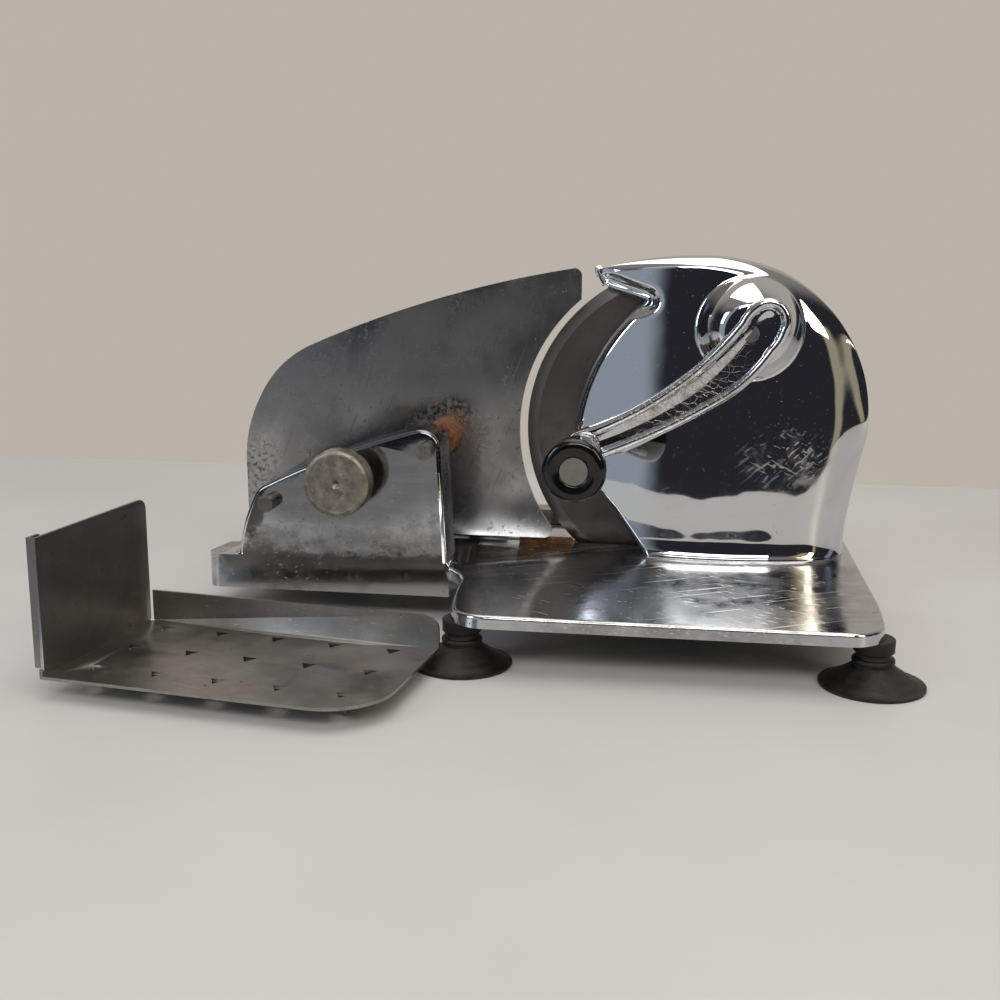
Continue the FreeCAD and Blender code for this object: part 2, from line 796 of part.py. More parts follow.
def build_grip():
    bore = s.grip_stud_radius + s.running_clearance
    seat = grip_face - s.grip_disc_thickness - s.end_clearance
    disc_pocket = s.grip_disc_radius + s.running_clearance * 2
    edge = s.grip_edge_round
    outline = [
        (bore, -grip_back),
        (bore, -seat),
        (disc_pocket, -seat),
        (disc_pocket, -grip_face),
        (s.grip_face_radius - edge, -grip_face, edge),
        (s.grip_face_radius, edge - grip_face, s.grip_side_radius),
        (s.grip_waist_radius, s.grip_waist_way - grip_face, -s.grip_side_radius),
        (s.grip_neck_radius, -grip_back),
    ]
    turned("crank_grip", outline, grip_x, grip_height)
    front = grip_face - s.running_clearance * 2
    under_head = front - s.grip_disc_thickness
    stud_end = arm_face - arm_stud_depth
    stud = [
        (0, -stud_end),
        (0, -front),
        (s.grip_disc_radius, -front),
        (s.grip_disc_radius, -under_head),
        (s.grip_stud_radius, -under_head),
        (s.grip_stud_radius, -stud_end),
    ]
    turned("grip_stud", stud, grip_x, grip_height)


# ---- blade housing -------------------------------------------------------------------------------
def housing_outline():
    """The cover seen from the front about the blade axis, counter-clockwise from its left foot."""
    hook_top = (-s.hook_reach, rim_outer - s.hook_drop)
    hook_under = (s.hook_lip_width - s.hook_reach, hook_top[1] - s.hook_lip_height)
    return [
        (-s.housing_foot_left, foot_level),
        (s.housing_foot_right, foot_level),
        (*around(rim_outer + s.housing_hip_gain, s.housing_hip_angle), -s.housing_hip_curve),
        (*around(rim_outer - s.housing_gap / 2, s.housing_rim_angle), s.housing_side_curve),
        (*around(rim_outer + s.housing_shoulder_gain, s.housing_shoulder_angle), s.housing_shoulder_curve),
        (*around(rim_outer, s.housing_crown_angle), s.housing_crown_curve),
        hook_top,
        hook_under,
        (*around(s.hook_root_radius, s.hook_root_angle), s.hook_root_curve),
        (*around(s.housing_widest_radius, s.housing_widest_angle), s.housing_left_radius),
        around(s.housing_low_radius, s.housing_low_angle),
    ]


def build_housing():
    body = new_body("blade_housing", 0, 0, s.blade_axis_height)
    back = s.housing_rim_back
    outline = new_sketch(body, "outline", "XZ_Plane", -back)
    draw_loop(outline, housing_outline())
    pad(body, outline, "block", back + s.housing_depth)
    fall = s.housing_dome_fall
    dome_radius = (rim_outer * rim_outer + fall * fall) / (2 * fall)
    reach = rim_outer * 1.3
    reach_y = dome_radius - s.housing_depth - root(dome_radius * dome_radius - reach * reach)
    front = -s.housing_depth
    dome = new_sketch(body, "dome", "YZ_Plane")
    draw_loop(dome, [(front, 0), (front - 1, 0), (front - 1, -reach), (reach_y, -reach, -dome_radius)])
    revolve(body, dome, "Groove", "dome_cut", "H_Axis")
    doc.recompute()
    foot = foot_level.number
    shallow = front.number + fall.number * 3

    def front_edge(edge):
        box = edge.BoundBox
        inner = min(math.hypot(vertex.X, vertex.Z) for vertex in edge.Vertexes)
        return box.YMax < shallow and box.ZMax > foot + 1 and inner > 50 and box.YLength < 6
    round_edges(body, "front_round", s.housing_edge_round, edge_names(body.Tip.Shape, front_edge))
    boss = new_sketch(body, "boss", "XY_Plane", crank_rise, (crank_x, 0))
    root_y = -s.housing_cavity_depth - s.housing_wall
    shoulder = -s.housing_depth + s.housing_wall
    draw_loop(boss, [(0, root_y), (0, -s.boss_height), (s.boss_flat_radius, -s.boss_height, 14),
                     (s.boss_radius, shoulder), (s.boss_radius, root_y)])
    revolve(body, boss, "Revolution", "boss_turn")
    cover_back = s.blade_thickness + s.housing_blade_gap
    blade_room = new_sketch(body, "blade_room", "XZ_Plane", -back)
    draw_circle(blade_room, 0, 0, rim_inner)
    cut(body, blade_room, "blade_room_cut", back + cover_back, True)
    cavity = new_sketch(body, "cavity", "XZ_Plane", cover_back)
    wall = s.housing_wall
    inner_left = s.housing_left_radius - wall
    below = foot_level - s.running_clearance
    draw_loop(cavity, [
        (wall - s.housing_foot_left, below),
        (s.housing_foot_right - wall * 2, below),
        (*around(rim_inner, -34), rim_inner),
        (*around(rim_inner, 30), rim_inner),
        around(rim_inner, 95),
        (*around(inner_left, 116), inner_left),
        (*around(inner_left, 178), inner_left),
        around(inner_left * 0.93, 224),
    ])
    depth = s.housing_cavity_depth - cover_back
    cut(body, cavity, "cavity_cut", depth, True)
    gear_room = new_sketch(body, "gear_room", "XZ_Plane", cover_back)
    draw_circle(gear_room, crank_x, crank_rise, crank_gear_pitch + s.gear_module + 0.7)
    cut(body, gear_room, "gear_room_cut", depth, True)
    spindle_seat = new_sketch(body, "spindle_seat", "XZ_Plane", cover_back)
    draw_circle(spindle_seat, 0, 0, s.spindle_radius)
    cut(body, spindle_seat, "spindle_seat_cut", s.housing_depth - wall - cover_back, True)
    bush_seat = new_sketch(body, "bush_seat", "XZ_Plane", s.boss_height)
    draw_circle(bush_seat, crank_x, crank_rise, s.bush_radius)
    cut(body, bush_seat, "bush_seat_cut", s.boss_height - s.housing_cavity_depth)
    posts = new_sketch(body, "posts", "XY_Plane", foot_level)
    for post_x in (s.post_left_x, s.post_right_x):
        draw_circle(posts, post_x, -s.post_inset, s.post_radius)
    pad(body, posts, "post_pads", s.post_height)
    holes = new_sketch(body, "post_holes", "XY_Plane", foot_level)
    for post_x in (s.post_left_x, s.post_right_x):
        draw_circle(holes, post_x, -s.post_inset, s.small_screw_radius)
    cut(body, holes, "post_hole_cut", post_hole_depth, True)


# ---- base casting --------------------------------------------------------------------------------
def front_corner(side, edge_x, inset):
    """The front corner of the tray on one side: the easing arc from the waist runs tangent into the
    corner arc. Gives the corner arc's start, its end on the front edge and the easing arc's radius."""
    corner = s.tray_corner_round
    centre_y = corner - s.tray_front
    drop = corner * sine(s.tray_taper_angle) - centre_y - s.tray_waist
    easing = drop / sine(s.tray_taper_angle)
    shift = easing * (1 - cosine(s.tray_taper_angle))
    centre_x = edge_x - side * (shift + corner * cosine(s.tray_taper_angle))
    left_over = corner - inset
    start = (centre_x + side * left_over * cosine(s.tray_taper_angle),
             centre_y - left_over * sine(s.tray_taper_angle))
    return start, (centre_x, centre_y - left_over), easing - inset


def tray_outline(inset):
    """Tray and right rear deck seen from above; its left end reaches under the arm block."""
    left, right = -s.tray_left + inset, s.tray_right - inset
    far = s.deck_rear - inset
    corner = s.tray_corner_round - inset
    rear_corner = s.deck_corner_round - inset
    bay_width = s.arm_right - s.tray_left
    bay_depth = s.tray_waist - s.arm_front
    bay_radius = (bay_width * bay_width + bay_depth * bay_depth) / (2 * bay_width)
    left_start, left_end, easing = front_corner(-1, -s.tray_left, inset)
    right_start, right_end, _ = front_corner(1, s.tray_right, inset)
    return [
        (-s.arm_right + inset, far),
        (-s.arm_right + inset, -s.arm_front, -bay_radius),
        (left, -s.tray_waist, easing),
        (*left_start, corner),
        left_end,
        (*right_end, corner),
        (*right_start, easing),
        (right, -s.tray_waist),
        (right, far - rear_corner, rear_corner),
        (right - rear_corner, far),
    ]


def arm_block_outline(inset):
    """Arm and left rear deck seen from above."""
    near, far = -s.arm_front + inset, s.deck_rear - inset
    left = -s.deck_left + inset
    front_round = s.arm_corner_round - inset
    rear_round = s.deck_corner_round - inset
    return [
        (inset - s.arm_left, near + front_round, front_round),
        (inset - s.arm_left + front_round, near),
        (-s.arm_right - inset, near),
        (-s.arm_right - inset, far),
        (left + rear_round, far, rear_round),
        (left, far - rear_round),
        (left, 0),
    ]


def bracket_outline(inset, low):
    """The upright bracket from the front, counter-clockwise, with corners over the two pins."""
    left_x, left_z = -s.pin_left_x, s.pin_left_height
    right_x, right_z = -s.pin_right_x, s.pin_right_height
    return [
        (left_x - s.bracket_spread + inset, low),
        (-s.arm_right - s.bracket_step - inset, low),
        (right_x + s.bracket_peak_way - inset * 1.1, right_z + s.bracket_peak_rise - inset * 1.3,
         s.bracket_top_radius),
        (left_x - s.bracket_low_peak + inset * 0.7, left_z + s.bracket_low_peak - inset,
         s.bracket_side_radius - inset),
    ]


def build_base():
    body = new_body("base_casting")
    whole = as_size(0.0)
    tray = new_sketch(body, "tray", "XY_Plane", lip_bottom)
    draw_loop(tray, tray_outline(whole))
    pad(body, tray, "tray_pad", s.lip_height)
    doc.recompute()
    seam = -s.arm_right.number + 0.5
    top = s.deck_top.number

    def rim_edge(edge):
        box = edge.BoundBox
        return box.ZMin > top - 0.01 and not (box.XMax < seam and box.YLength > 60)
    round_edges(body, "lip_edge", s.lip_round, edge_names(body.Tip.Shape, rim_edge))
    block = new_sketch(body, "arm_block", "XY_Plane", s.skirt_bottom)
    draw_loop(block, arm_block_outline(whole))
    pad(body, block, "arm_block_pad", s.deck_top - s.skirt_bottom)
    plinth = new_sketch(body, "plinth", "XY_Plane", lip_bottom)
    plinth_back = s.plinth_depth - s.arm_front
    slant = (s.arm_left - s.deck_left) * s.plinth_depth / s.arm_front
    draw_loop(plinth, arm_block_outline(whole)[:2] + [
        (-s.arm_right, -s.arm_front), (-s.arm_right, plinth_back), (slant - s.arm_left, plinth_back),
    ])
    pad(body, plinth, "plinth_pad", s.plinth_top - lip_bottom)
    hollow_deck(body)
    build_bracket(body)
    cut_deck_openings(body)


def hollow_deck(body):
    """Opens both parts of the base from below and leaves the skirt, then adds the cup lugs."""
    tray = new_sketch(body, "tray_hollow", "XY_Plane", lip_bottom)
    draw_loop(tray, tray_outline(s.skirt_wall))
    cut(body, tray, "tray_hollow_cut", s.lip_height - s.deck_thickness, True)
    block = new_sketch(body, "block_hollow", "XY_Plane", s.skirt_bottom)
    draw_loop(block, arm_block_outline(s.skirt_wall))
    cut(body, block, "block_hollow_cut", deck_under - s.skirt_bottom, True)
    lugs = new_sketch(body, "lugs", "XY_Plane", lip_bottom)
    for cup_x, cup_y in cup_places:
        draw_circle(lugs, cup_x, cup_y, s.lug_radius)
    pad(body, lugs, "lug_pads", s.lip_height - s.deck_thickness * 0.8)
    holes = new_sketch(body, "lug_holes", "XY_Plane", lip_bottom)
    for cup_x, cup_y in cup_places:
        draw_circle(holes, cup_x, cup_y, s.cup_stud_radius)
    cut(body, holes, "lug_hole_cut", cup_stud_top - lip_bottom, True)


def build_bracket(body):
    wall = s.bracket_wall
    outline = bracket_outline(as_size(0.0), s.deck_top - 1)
    sketch = new_sketch(body, "bracket", "XZ_Plane", s.arm_front)
    draw_loop(sketch, outline)
    pad(body, sketch, "bracket_pad", s.bracket_depth, True)
    doc.recompute()
    names = edges_along(body.Tip.Shape, "Y", outline[2:])
    round_edges(body, "bracket_corners", s.bracket_corner_round, names)
    front = s.arm_front.number
    foot = s.plinth_top.number

    def face_edge(edge):
        box = edge.BoundBox
        return abs(box.YMax + front) < 0.01 and box.YLength < 0.01 and box.ZMax > foot + 5
    round_edges(body, "bracket_edge", s.bracket_round, edge_names(body.Tip.Shape, face_edge))
    add_bracket_flare(body, *outline[0])
    inner = bracket_outline(wall, s.plinth_top)
    hollow = new_sketch(body, "bracket_hollow", "XZ_Plane", bracket_back)
    draw_loop(hollow, inner)
    cut(body, hollow, "bracket_hollow_cut", s.bracket_depth - wall, True)
    doc.recompute()
    names = edges_along(body.Tip.Shape, "Y", inner[2:])
    round_edges(body, "bracket_hollow_corners", s.bracket_corner_round - wall, names)
    bosses = new_sketch(body, "pin_bosses", "XZ_Plane", s.arm_front - wall / 2)
    for pin_x, pin_z in pin_places:
        draw_circle(bosses, pin_x, pin_z, s.pin_boss_radius)
    pad(body, bosses, "pin_boss_pads", s.pin_boss_length + wall / 2, True)
    bores = new_sketch(body, "pin_bores", "XZ_Plane", s.arm_front)
    for pin_x, pin_z in pin_places:
        draw_circle(bores, pin_x, pin_z, s.pin_radius + s.running_clearance)
    draw_circle(bores, -stud_x, stud_height, s.stud_radius + s.end_clearance)
    cut(body, bores, "pin_bore_cut", s.bracket_depth)


def add_bracket_flare(body, side_x, below):
    """The hollow curve that leads the bracket's outer side into the plinth's top."""
    flare = s.bracket_flare
    level = s.plinth_top
    front = s.arm_front - s.bracket_round
    sketch = new_sketch(body, "bracket_flare", "XZ_Plane", front)
    inside = side_x + s.bracket_wall / 2
    lean = flare / 9
    draw_loop(sketch, [(inside, below), (inside, level + flare), (side_x + lean, level + flare, -flare),
                       (side_x - flare, level), (side_x - flare, below)])
    pad(body, sketch, "bracket_flare_pad", s.bracket_depth - s.bracket_round, True)


def cut_deck_openings(body):
    sketch = new_sketch(body, "deck_holes", "XY_Plane", s.deck_top)
    drop = s.blade_axis_height - s.deck_top
    half_slot = root(s.blade_radius * s.blade_radius - drop * drop) + s.slot_end_gap
    draw_loop(sketch, box_loop(-s.slot_left, half_slot, -s.slot_front, s.slot_back))
    for hole_x, hole_y in deck_screw_places:
        draw_circle(sketch, hole_x, hole_y, s.small_screw_radius)
    cut(body, sketch, "deck_hole_cut", s.deck_thickness + s.lip_height)


# ---- gauge plate and its knob --------------------------------------------------------------------
def gauge_low_tip():
    """Where the edge round the blade ends, just above the plate's straight bottom."""
    edge = s.blade_radius + s.gauge_blade_gap
    low = s.gauge_bottom - s.blade_axis_height + s.gauge_tip_round * 1.25
    return -root(edge * edge - low * low), low


def gauge_outline():
    """The fin about the blade axis; its right edge keeps a constant gap round the blade."""
    bottom = s.gauge_bottom - s.blade_axis_height
    edge = s.blade_radius + s.gauge_blade_gap
    corner = s.gauge_corner_round
    tip = s.gauge_tip_round
    low_edge = gauge_low_tip()
    high_edge = around(edge, s.gauge_tip_angle)
    tip_x, tip_z = high_edge[0], rim_outer - s.gauge_tip_drop
    left = -s.gauge_left
    return [
        (left + corner, bottom),
        (low_edge[0] - tip, bottom, tip * 1.25),
        (*low_edge, -edge),
        high_edge,
        (tip_x, tip_z, tip * 1.1),
        (tip_x - tip * 0.8, tip_z + tip * 1.2, s.gauge_top_curve),
        (left + s.gauge_shoulder_way, s.gauge_shoulder_rise, s.gauge_shoulder_curve),
        (left + s.gauge_hip_way, s.gauge_hip_rise, s.gauge_hip_curve),
        (left, -s.gauge_side_drop),
        (left, bottom + corner, corner),
    ]


def build_gauge():
    body = new_body("gauge_plate", 0, 0, s.blade_axis_height)
    sketch = new_sketch(body, "outline", "XZ_Plane", s.gauge_rest_gap)
    draw_loop(sketch, gauge_outline())
    pad(body, sketch, "sheet", s.gauge_thickness)
    holes = new_sketch(body, "pin_holes", "XZ_Plane", s.gauge_rest_gap)
    for pin_x, pin_z in pin_places:
        draw_circle(holes, pin_x, pin_z - s.blade_axis_height, s.pin_radius)
    draw_circle(holes, -stud_x, stud_height - s.blade_axis_height, s.stud_radius)
    cut(body, holes, "pin_hole_cut", s.gauge_thickness, True)
    for side, (pin_x, pin_z) in zip(("left", "right"), pin_places):
        pin = rod(f"guide_pin_{side}", s.pin_radius, s.pin_front - s.gauge_rest_gap,
                  pin_x, -s.gauge_rest_gap, pin_z, "front")
        pin.Label = f"guide_pin_{side}"
        sub_parts.append(pin)
        add_collar(f"pin_collar_{side}", s.pin_collar_radius, s.pin_radius, pin_collar_length, pin_x, pin_z)
    stud = rod("adjusting_stud", s.stud_radius, s.stud_front - s.gauge_rest_gap,
               -stud_x, -s.gauge_rest_gap, stud_height, "front")
    stud.Label = "adjusting_stud"
    sub_parts.append(stud)
    add_collar("stud_collar", s.pin_collar_radius, s.stud_radius, s.stud_collar_length, -stud_x, stud_height)


def add_collar(label, radius, bore, length, x, z):
    front = -gauge_front - length
    chamfer = bore * 0.25
    outline = [
        (bore, -gauge_front),
        (bore, front),
        (radius - chamfer, front),
        (radius, front + chamfer),
        (radius, -gauge_front),
    ]
    turned(label, outline, x, z)


def build_spring():
    """A wire coil about the stud, from its collar to the bracket's inner face. The wire's section is
    drawn with six sides, which keeps the coil's mesh light."""
    back = gauge_front + s.stud_collar_length + s.end_clearance
    front = s.arm_front - s.bracket_wall - s.end_clearance
    wire = s.spring_wire.number / 2
    height = (front - back).number - s.spring_wire.number
    coil_radius = s.spring_radius.number
    path = Part.makeHelix(height / s.spring_turns.number, height, coil_radius)
    sides = 6
    turns = [2 * math.pi * number / sides for number in range(sides + 1)]
    section = [Vector(coil_radius + wire * math.cos(turn), 0, wire * math.sin(turn)) for turn in turns]
    spring = doc.addObject("Part::Feature", "gauge_spring")
    spring.Label = "gauge_spring"
    spring.Shape = Part.Wire(path).makePipeShell([Part.makePolygon(section)], True, True)
    place(spring, -stud_x, -back - wire, stud_height, as_size(90.0), Vector(1, 0, 0))
    sub_parts.append(spring)


def build_knob():
    back = s.arm_front + s.end_clearance
    neck_front = back + s.knob_neck_length
    front = neck_front + s.knob_thickness
    bore = s.stud_radius + s.running_clearance
    chamfer = 1.0
    outline = [
        (bore, -back),
        (bore, -back - s.knob_bore_depth),
        (0, -back - s.knob_bore_depth),
        (0, -front),
        (s.knob_radius - chamfer, -front),
        (s.knob_radius, chamfer - front),
        (s.knob_radius, -neck_front - chamfer),
        (s.knob_radius - chamfer, -neck_front),
        (s.knob_neck_radius, -neck_front),
        (s.knob_neck_radius, -back),
    ]
    body = turned("thumb_knob", outline, -stud_x, stud_height)
    sketch = new_sketch(body, "knurl", "XZ_Plane", neck_front)
    depth = s.knurl_depth
    draw_loop(sketch, [(s.knob_radius - depth, 0), (s.knob_radius + depth, -depth * 1.4),
                       (s.knob_radius + depth, depth * 1.4)])
    groove = cut(body, sketch, "knurl_cut", s.knob_thickness, True)
    doc.recompute()
    pattern = body.newObject("PartDesign::PolarPattern", "knurl_pattern")
    pattern.Originals = [groove]
    pattern.Axis = (sketch, ["N_Axis"])
    pattern.Angle = 360
    pattern.setExpression("Occurrences", s.knurl_count.formula)
    body.Tip = pattern


# ---- deck hardware and food carriage -------------------------------------------------------------
def along_deck(label, outline, left, right):
    """A bar along X with its section given as (y, z)."""
    body = new_body(label)
    sketch = new_sketch(body, "section", "YZ_Plane", left)
    draw_loop(sketch, outline)
    pad(body, sketch, "bar", right - left)
    return body


def build_deck_hardware():
    strip_back = -s.slot_front - s.strip_slot_gap
    tip_x = gauge_low_tip()[0]
    along_deck("guide_strip", box_loop(strip_back - s.strip_width, strip_back, s.deck_top,
                                       s.deck_top + s.strip_height),
               tip_x - s.strip_reach_left, tip_x + s.strip_reach_right)
    stem, head = s.rail_stem_width / 2, s.rail_head_width / 2
    step = s.deck_top + s.rail_stem_height
    rail = along_deck("carriage_rail", [
        (s.rail_y - stem, s.deck_top), (s.rail_y + stem, s.deck_top), (s.rail_y + stem, step),
        (s.rail_y + head, step), (s.rail_y + head, rail_top), (s.rail_y - head, rail_top),
        (s.rail_y - head, step), (s.rail_y - stem, step),
    ], -s.rail_left, s.rail_right)
    holes = new_sketch(rail, "screw_holes", "XY_Plane", s.deck_top)
    for hole_x, hole_y in deck_screw_places[2:]:
        draw_circle(holes, hole_x, hole_y, s.small_screw_radius)
    cut(rail, holes, "screw_hole_cut", s.rail_stem_height + s.end_clearance, True)
    members = []
    for number, (x, y) in enumerate(deck_screw_places):
        reach = screw_reaches[number]
        members.append(rod(f"deck_screw_head_{number}", s.small_screw_radius * 2, s.small_screw_radius,
                           x, y, deck_under, "down"))
        members.append(rod(f"deck_screw_shank_{number}", s.small_screw_radius - s.running_clearance,
                           reach, x, y, deck_under, "up"))
    screws = []
    for number in range(len(deck_screw_places)):
        screw = doc.addObject("Part::Fuse", f"deck_screw_{number}")
        screw.Base, screw.Tool = members[2 * number], members[2 * number + 1]
        screws.append(screw)
    compound("deck_screws", screws)


def build_carriage():
    inner = s.rail_head_width / 2 + s.slide_clearance
    outer = inner + s.runner_wall
    lip = s.rail_stem_width / 2 + s.slide_clearance
    bottom = s.deck_top + s.slide_clearance
    lip_top = s.deck_top + s.rail_stem_height - s.slide_clearance
    roof = rail_top + s.slide_clearance
    middle = s.rail_y
    left = s.runner_wall * 2 - s.carriage_left
    along_deck("carriage_runner", [
        (middle - outer, bottom), (middle - lip, bottom), (middle - lip, lip_top),
        (middle - inner, lip_top), (middle - inner, roof), (middle + inner, roof),
        (middle + inner, lip_top), (middle + lip, lip_top), (middle + lip, bottom),
        (middle + outer, bottom), (middle + outer, runner_top), (middle - outer, runner_top),
    ], left, left + s.runner_length)
    body = new_body("food_carriage")
    floor = new_sketch(body, "floor", "XY_Plane", runner_top)
    draw_loop(floor, box_loop(-s.carriage_left, -s.carriage_right, s.carriage_front, s.carriage_rear))
    pad(body, floor, "floor_pad", s.carriage_sheet)
    doc.recompute()
    free_corners = [(-s.carriage_right, s.carriage_front), (-s.carriage_right, s.carriage_rear)]
    names = edges_along(body.Tip.Shape, "Z", free_corners)
    round_edges(body, "floor_corners", s.carriage_corner_round, names)
    fence = new_sketch(body, "fence", "YZ_Plane", -s.carriage_left)
    draw_loop(fence, box_loop(s.carriage_front, s.carriage_rear, runner_top,
                              runner_top + s.carriage_fence_height))
    pad(body, fence, "fence_pad", s.carriage_sheet)
    doc.recompute()
    top = (runner_top + s.carriage_fence_height).number

    def fence_corner(edge):
        box = edge.BoundBox
        return box.ZMin > top - 0.1 and box.YLength < 0.01
    round_edges(body, "fence_corners", s.carriage_fence_round, edge_names(body.Tip.Shape, fence_corner))
    rivets = []
    for number in range(3):
        x = left + s.runner_length * (0.12 + 0.38 * number)
        rivets.append(rod(f"runner_rivet_{number}", s.rivet_radius, s.carriage_sheet + s.runner_wall,
                          x, middle, roof, "up"))
    compound("carriage_rivets", rivets)
    holes = new_sketch(body, "rivet_holes", "XY_Plane", runner_top)
    runner = [item for item in sub_parts if item.Label == "carriage_runner"][0]
    runner_holes = new_sketch(runner, "rivet_holes", "XY_Plane", runner_top)
    for number in range(3):
        x = left + s.runner_length * (0.12 + 0.38 * number)
        draw_circle(holes, x, middle, s.rivet_radius)
        draw_circle(runner_holes, x, middle, s.rivet_radius)
    cut(body, holes, "rivet_hole_cut", s.carriage_sheet, True)
    cut(runner, runner_holes, "rivet_hole_cut", s.runner_wall)


# ---- suction cups --------------------------------------------------------------------------------
def build_cups():
    names = ("cup_front_left", "cup_front_right", "cup_rear_left", "cup_rear_right")
    outline = [
        (0, s.cup_hollow_height, 60),
        (s.cup_radius - s.cup_rim * 2, 0),
        (s.cup_radius, 0),
        (s.cup_radius, s.cup_rim, -60),
        (s.cup_neck_radius, s.cup_shoulder_height),
        (s.cup_neck_radius, s.cup_groove_low),
        (s.cup_groove_radius, s.cup_groove_low),
        (s.cup_groove_radius, s.cup_groove_high),
        (s.cup_neck_radius, s.cup_groove_high),
        (s.cup_neck_radius, lip_bottom),
        (s.cup_stud_radius, lip_bottom),
        (s.cup_stud_radius, s.cup_stud_bottom),
        (0, s.cup_stud_bottom),
    ]
    studs = []
    for name, (cup_x, cup_y) in zip(names, cup_places):
        body = turned(name, outline, cup_x, 0, upright=True)
        place(body, cup_x, cup_y, 0)
        studs.append(rod(f"stud_{name}", s.cup_stud_radius, cup_stud_top - s.cup_stud_bottom,
                         cup_x, cup_y, s.cup_stud_bottom, "up"))
    compound("cup_studs", studs)


# ---- food pusher ---------------------------------------------------------------------------------
def build_pusher():
    """Folded from one sheet; it lies on its teeth beside the arm, turned a little."""
    body = new_body("food_pusher", -s.pusher_x, -s.pusher_y, 0, s.pusher_turn)
    left, right = -s.pusher_left, s.pusher_right
    near, far = -s.pusher_front, s.pusher_back
    sheet_t = s.pusher_sheet
    corner = s.pusher_corner_round
    floor = new_sketch(body, "floor", "XY_Plane", floor_under)
    draw_loop(floor, [(left, near), (right - corner, near, corner), (right, near + corner),
                      (right, far), (left, far)])
    pad(body, floor, "floor_pad", sheet_t)
    fence = new_sketch(body, "fence", "XZ_Plane", -far)
    bend = s.pusher_fence_round
    fence_left = left + sheet_t + s.relief_radius
    draw_loop(fence, [(fence_left, floor_under), (right, floor_under),
                      (right, s.pusher_fence_height - bend, bend),
                      (right - bend, s.pusher_fence_height), (fence_left, s.pusher_fence_height)])
    pad(body, fence, "fence_pad", sheet_t)
    end = new_sketch(body, "end", "YZ_Plane", left)
    hem_y = near + s.hem_setback
    top = s.pusher_end_height
    turn_in = s.pusher_end_round
    draw_loop(end, [(near, floor_under), (far, floor_under), (far, top - turn_in, turn_in),
                    (far - turn_in, top), (hem_y, top), (hem_y, s.hem_bottom), (near, s.hem_bottom)])
    pad(body, end, "end_pad", sheet_t)
    hem = new_sketch(body, "hem", "XY_Plane", s.hem_bottom)
    outer = left - s.hem_gap
    draw_loop(hem, [(left, hem_y), (left, hem_y + sheet_t), (outer, hem_y + sheet_t),
                    (outer, hem_y + s.hem_return), (outer - sheet_t, hem_y + s.hem_return),
                    (outer - sheet_t, hem_y)])
    pad(body, hem, "hem_pad", top - s.hem_bottom)
    relief = new_sketch(body, "relief", "XY_Plane", floor_top)
    draw_circle(relief, fence_left - s.relief_radius / 2, far - sheet_t, s.relief_radius)
    cut(body, relief, "relief_cut", sheet_t)
    pierce_teeth(body)


def pierce_teeth(body):
    """Each hole is a triangle whose flap is bent straight down into a tooth along its far side."""
    half = s.tooth_width / 2
    column = -s.tooth_pitch * (s.tooth_columns - 1) / 2
    row = -s.tooth_pitch * (s.tooth_rows - 1) / 2
    flap = s.tooth_hole_length
    fold = row + flap / 2
    hole = new_sketch(body, "hole", "XY_Plane", floor_top)
    draw_loop(hole, [(column, fold - flap), (column + half, fold), (column - half, fold)])
    hole_cut = cut(body, hole, "hole_cut", s.pusher_sheet)
    overlap = s.pusher_sheet / 4
    tooth = new_sketch(body, "tooth", "XZ_Plane", -fold - overlap)
    draw_loop(tooth, [(column, 0), (column + half, floor_top), (column - half, floor_top)])
    tooth_pad = pad(body, tooth, "tooth_pad", s.pusher_sheet)
    doc.recompute()
    grid = body.newObject("PartDesign::MultiTransform", "tooth_grid")
    grid.Originals = [hole_cut, tooth_pad]
    steps = []
    for name, axis, count in (("columns", "H_Axis", s.tooth_columns), ("rows", "V_Axis", s.tooth_rows)):
        step = body.newObject("PartDesign::LinearPattern", f"tooth_{name}")
        step.Direction = (hole, [axis])
        step.setExpression("Length", (s.tooth_pitch * (count - 1)).formula)
        step.setExpression("Occurrences", count.formula)
        steps.append(step)
    grid.Transformations = steps
    body.Tip = grid


# ---- places that several pieces share ------------------------------------------------------------
cup_places = [
    (-s.cup_front_left_x, -s.cup_front_y),
    (s.cup_front_right_x, -s.cup_front_y),
    (-s.cup_rear_left_x, s.cup_rear_y),
    (s.cup_rear_right_x, s.cup_rear_y),
]
cup_stud_top = deck_under + s.deck_thickness * 0.4
pin_places = [(-s.pin_left_x, s.pin_left_height), (-s.pin_right_x, s.pin_right_height)]
deck_screw_places = [
    (s.post_left_x, -s.post_inset),
    (s.post_right_x, -s.post_inset),
    (15 - s.rail_left, s.rail_y),
    ((s.rail_right - s.rail_left) / 2, s.rail_y),
    (s.rail_right - 15, s.rail_y),
]
post_reach = s.deck_thickness + post_hole_depth - 1
rail_reach = s.deck_thickness + s.rail_stem_height
screw_reaches = [post_reach, post_reach, rail_reach, rail_reach, rail_reach]

build_base()
build_housing()
build_blade()
build_hub()
build_rivets()
build_gears()
build_spindle()
build_crank_shaft()
build_crank_arm()
build_grip()
build_gauge()
build_spring()
build_knob()
build_deck_hardware()
build_carriage()
build_cups()
build_pusher()


def save_parts():
    doc.recompute()
    for item in doc.Objects:
        if "Invalid" in item.State or "Error" in item.State:
            raise RuntimeError(f"{item.Name} did not compute: {item.State}")
    for part in sub_parts:
        if part.Shape.isNull() or not part.Shape.isValid():
            raise RuntimeError(f"{part.Label} has no valid shape")
    os.makedirs("parts", exist_ok=True)
    for part in sub_parts:
        part.Shape.exportStep(f"parts/{part.Label}.step")


save_parts()
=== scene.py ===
import math

import bmesh
import bpy
import numpy as np
from mathutils import Matrix, Vector


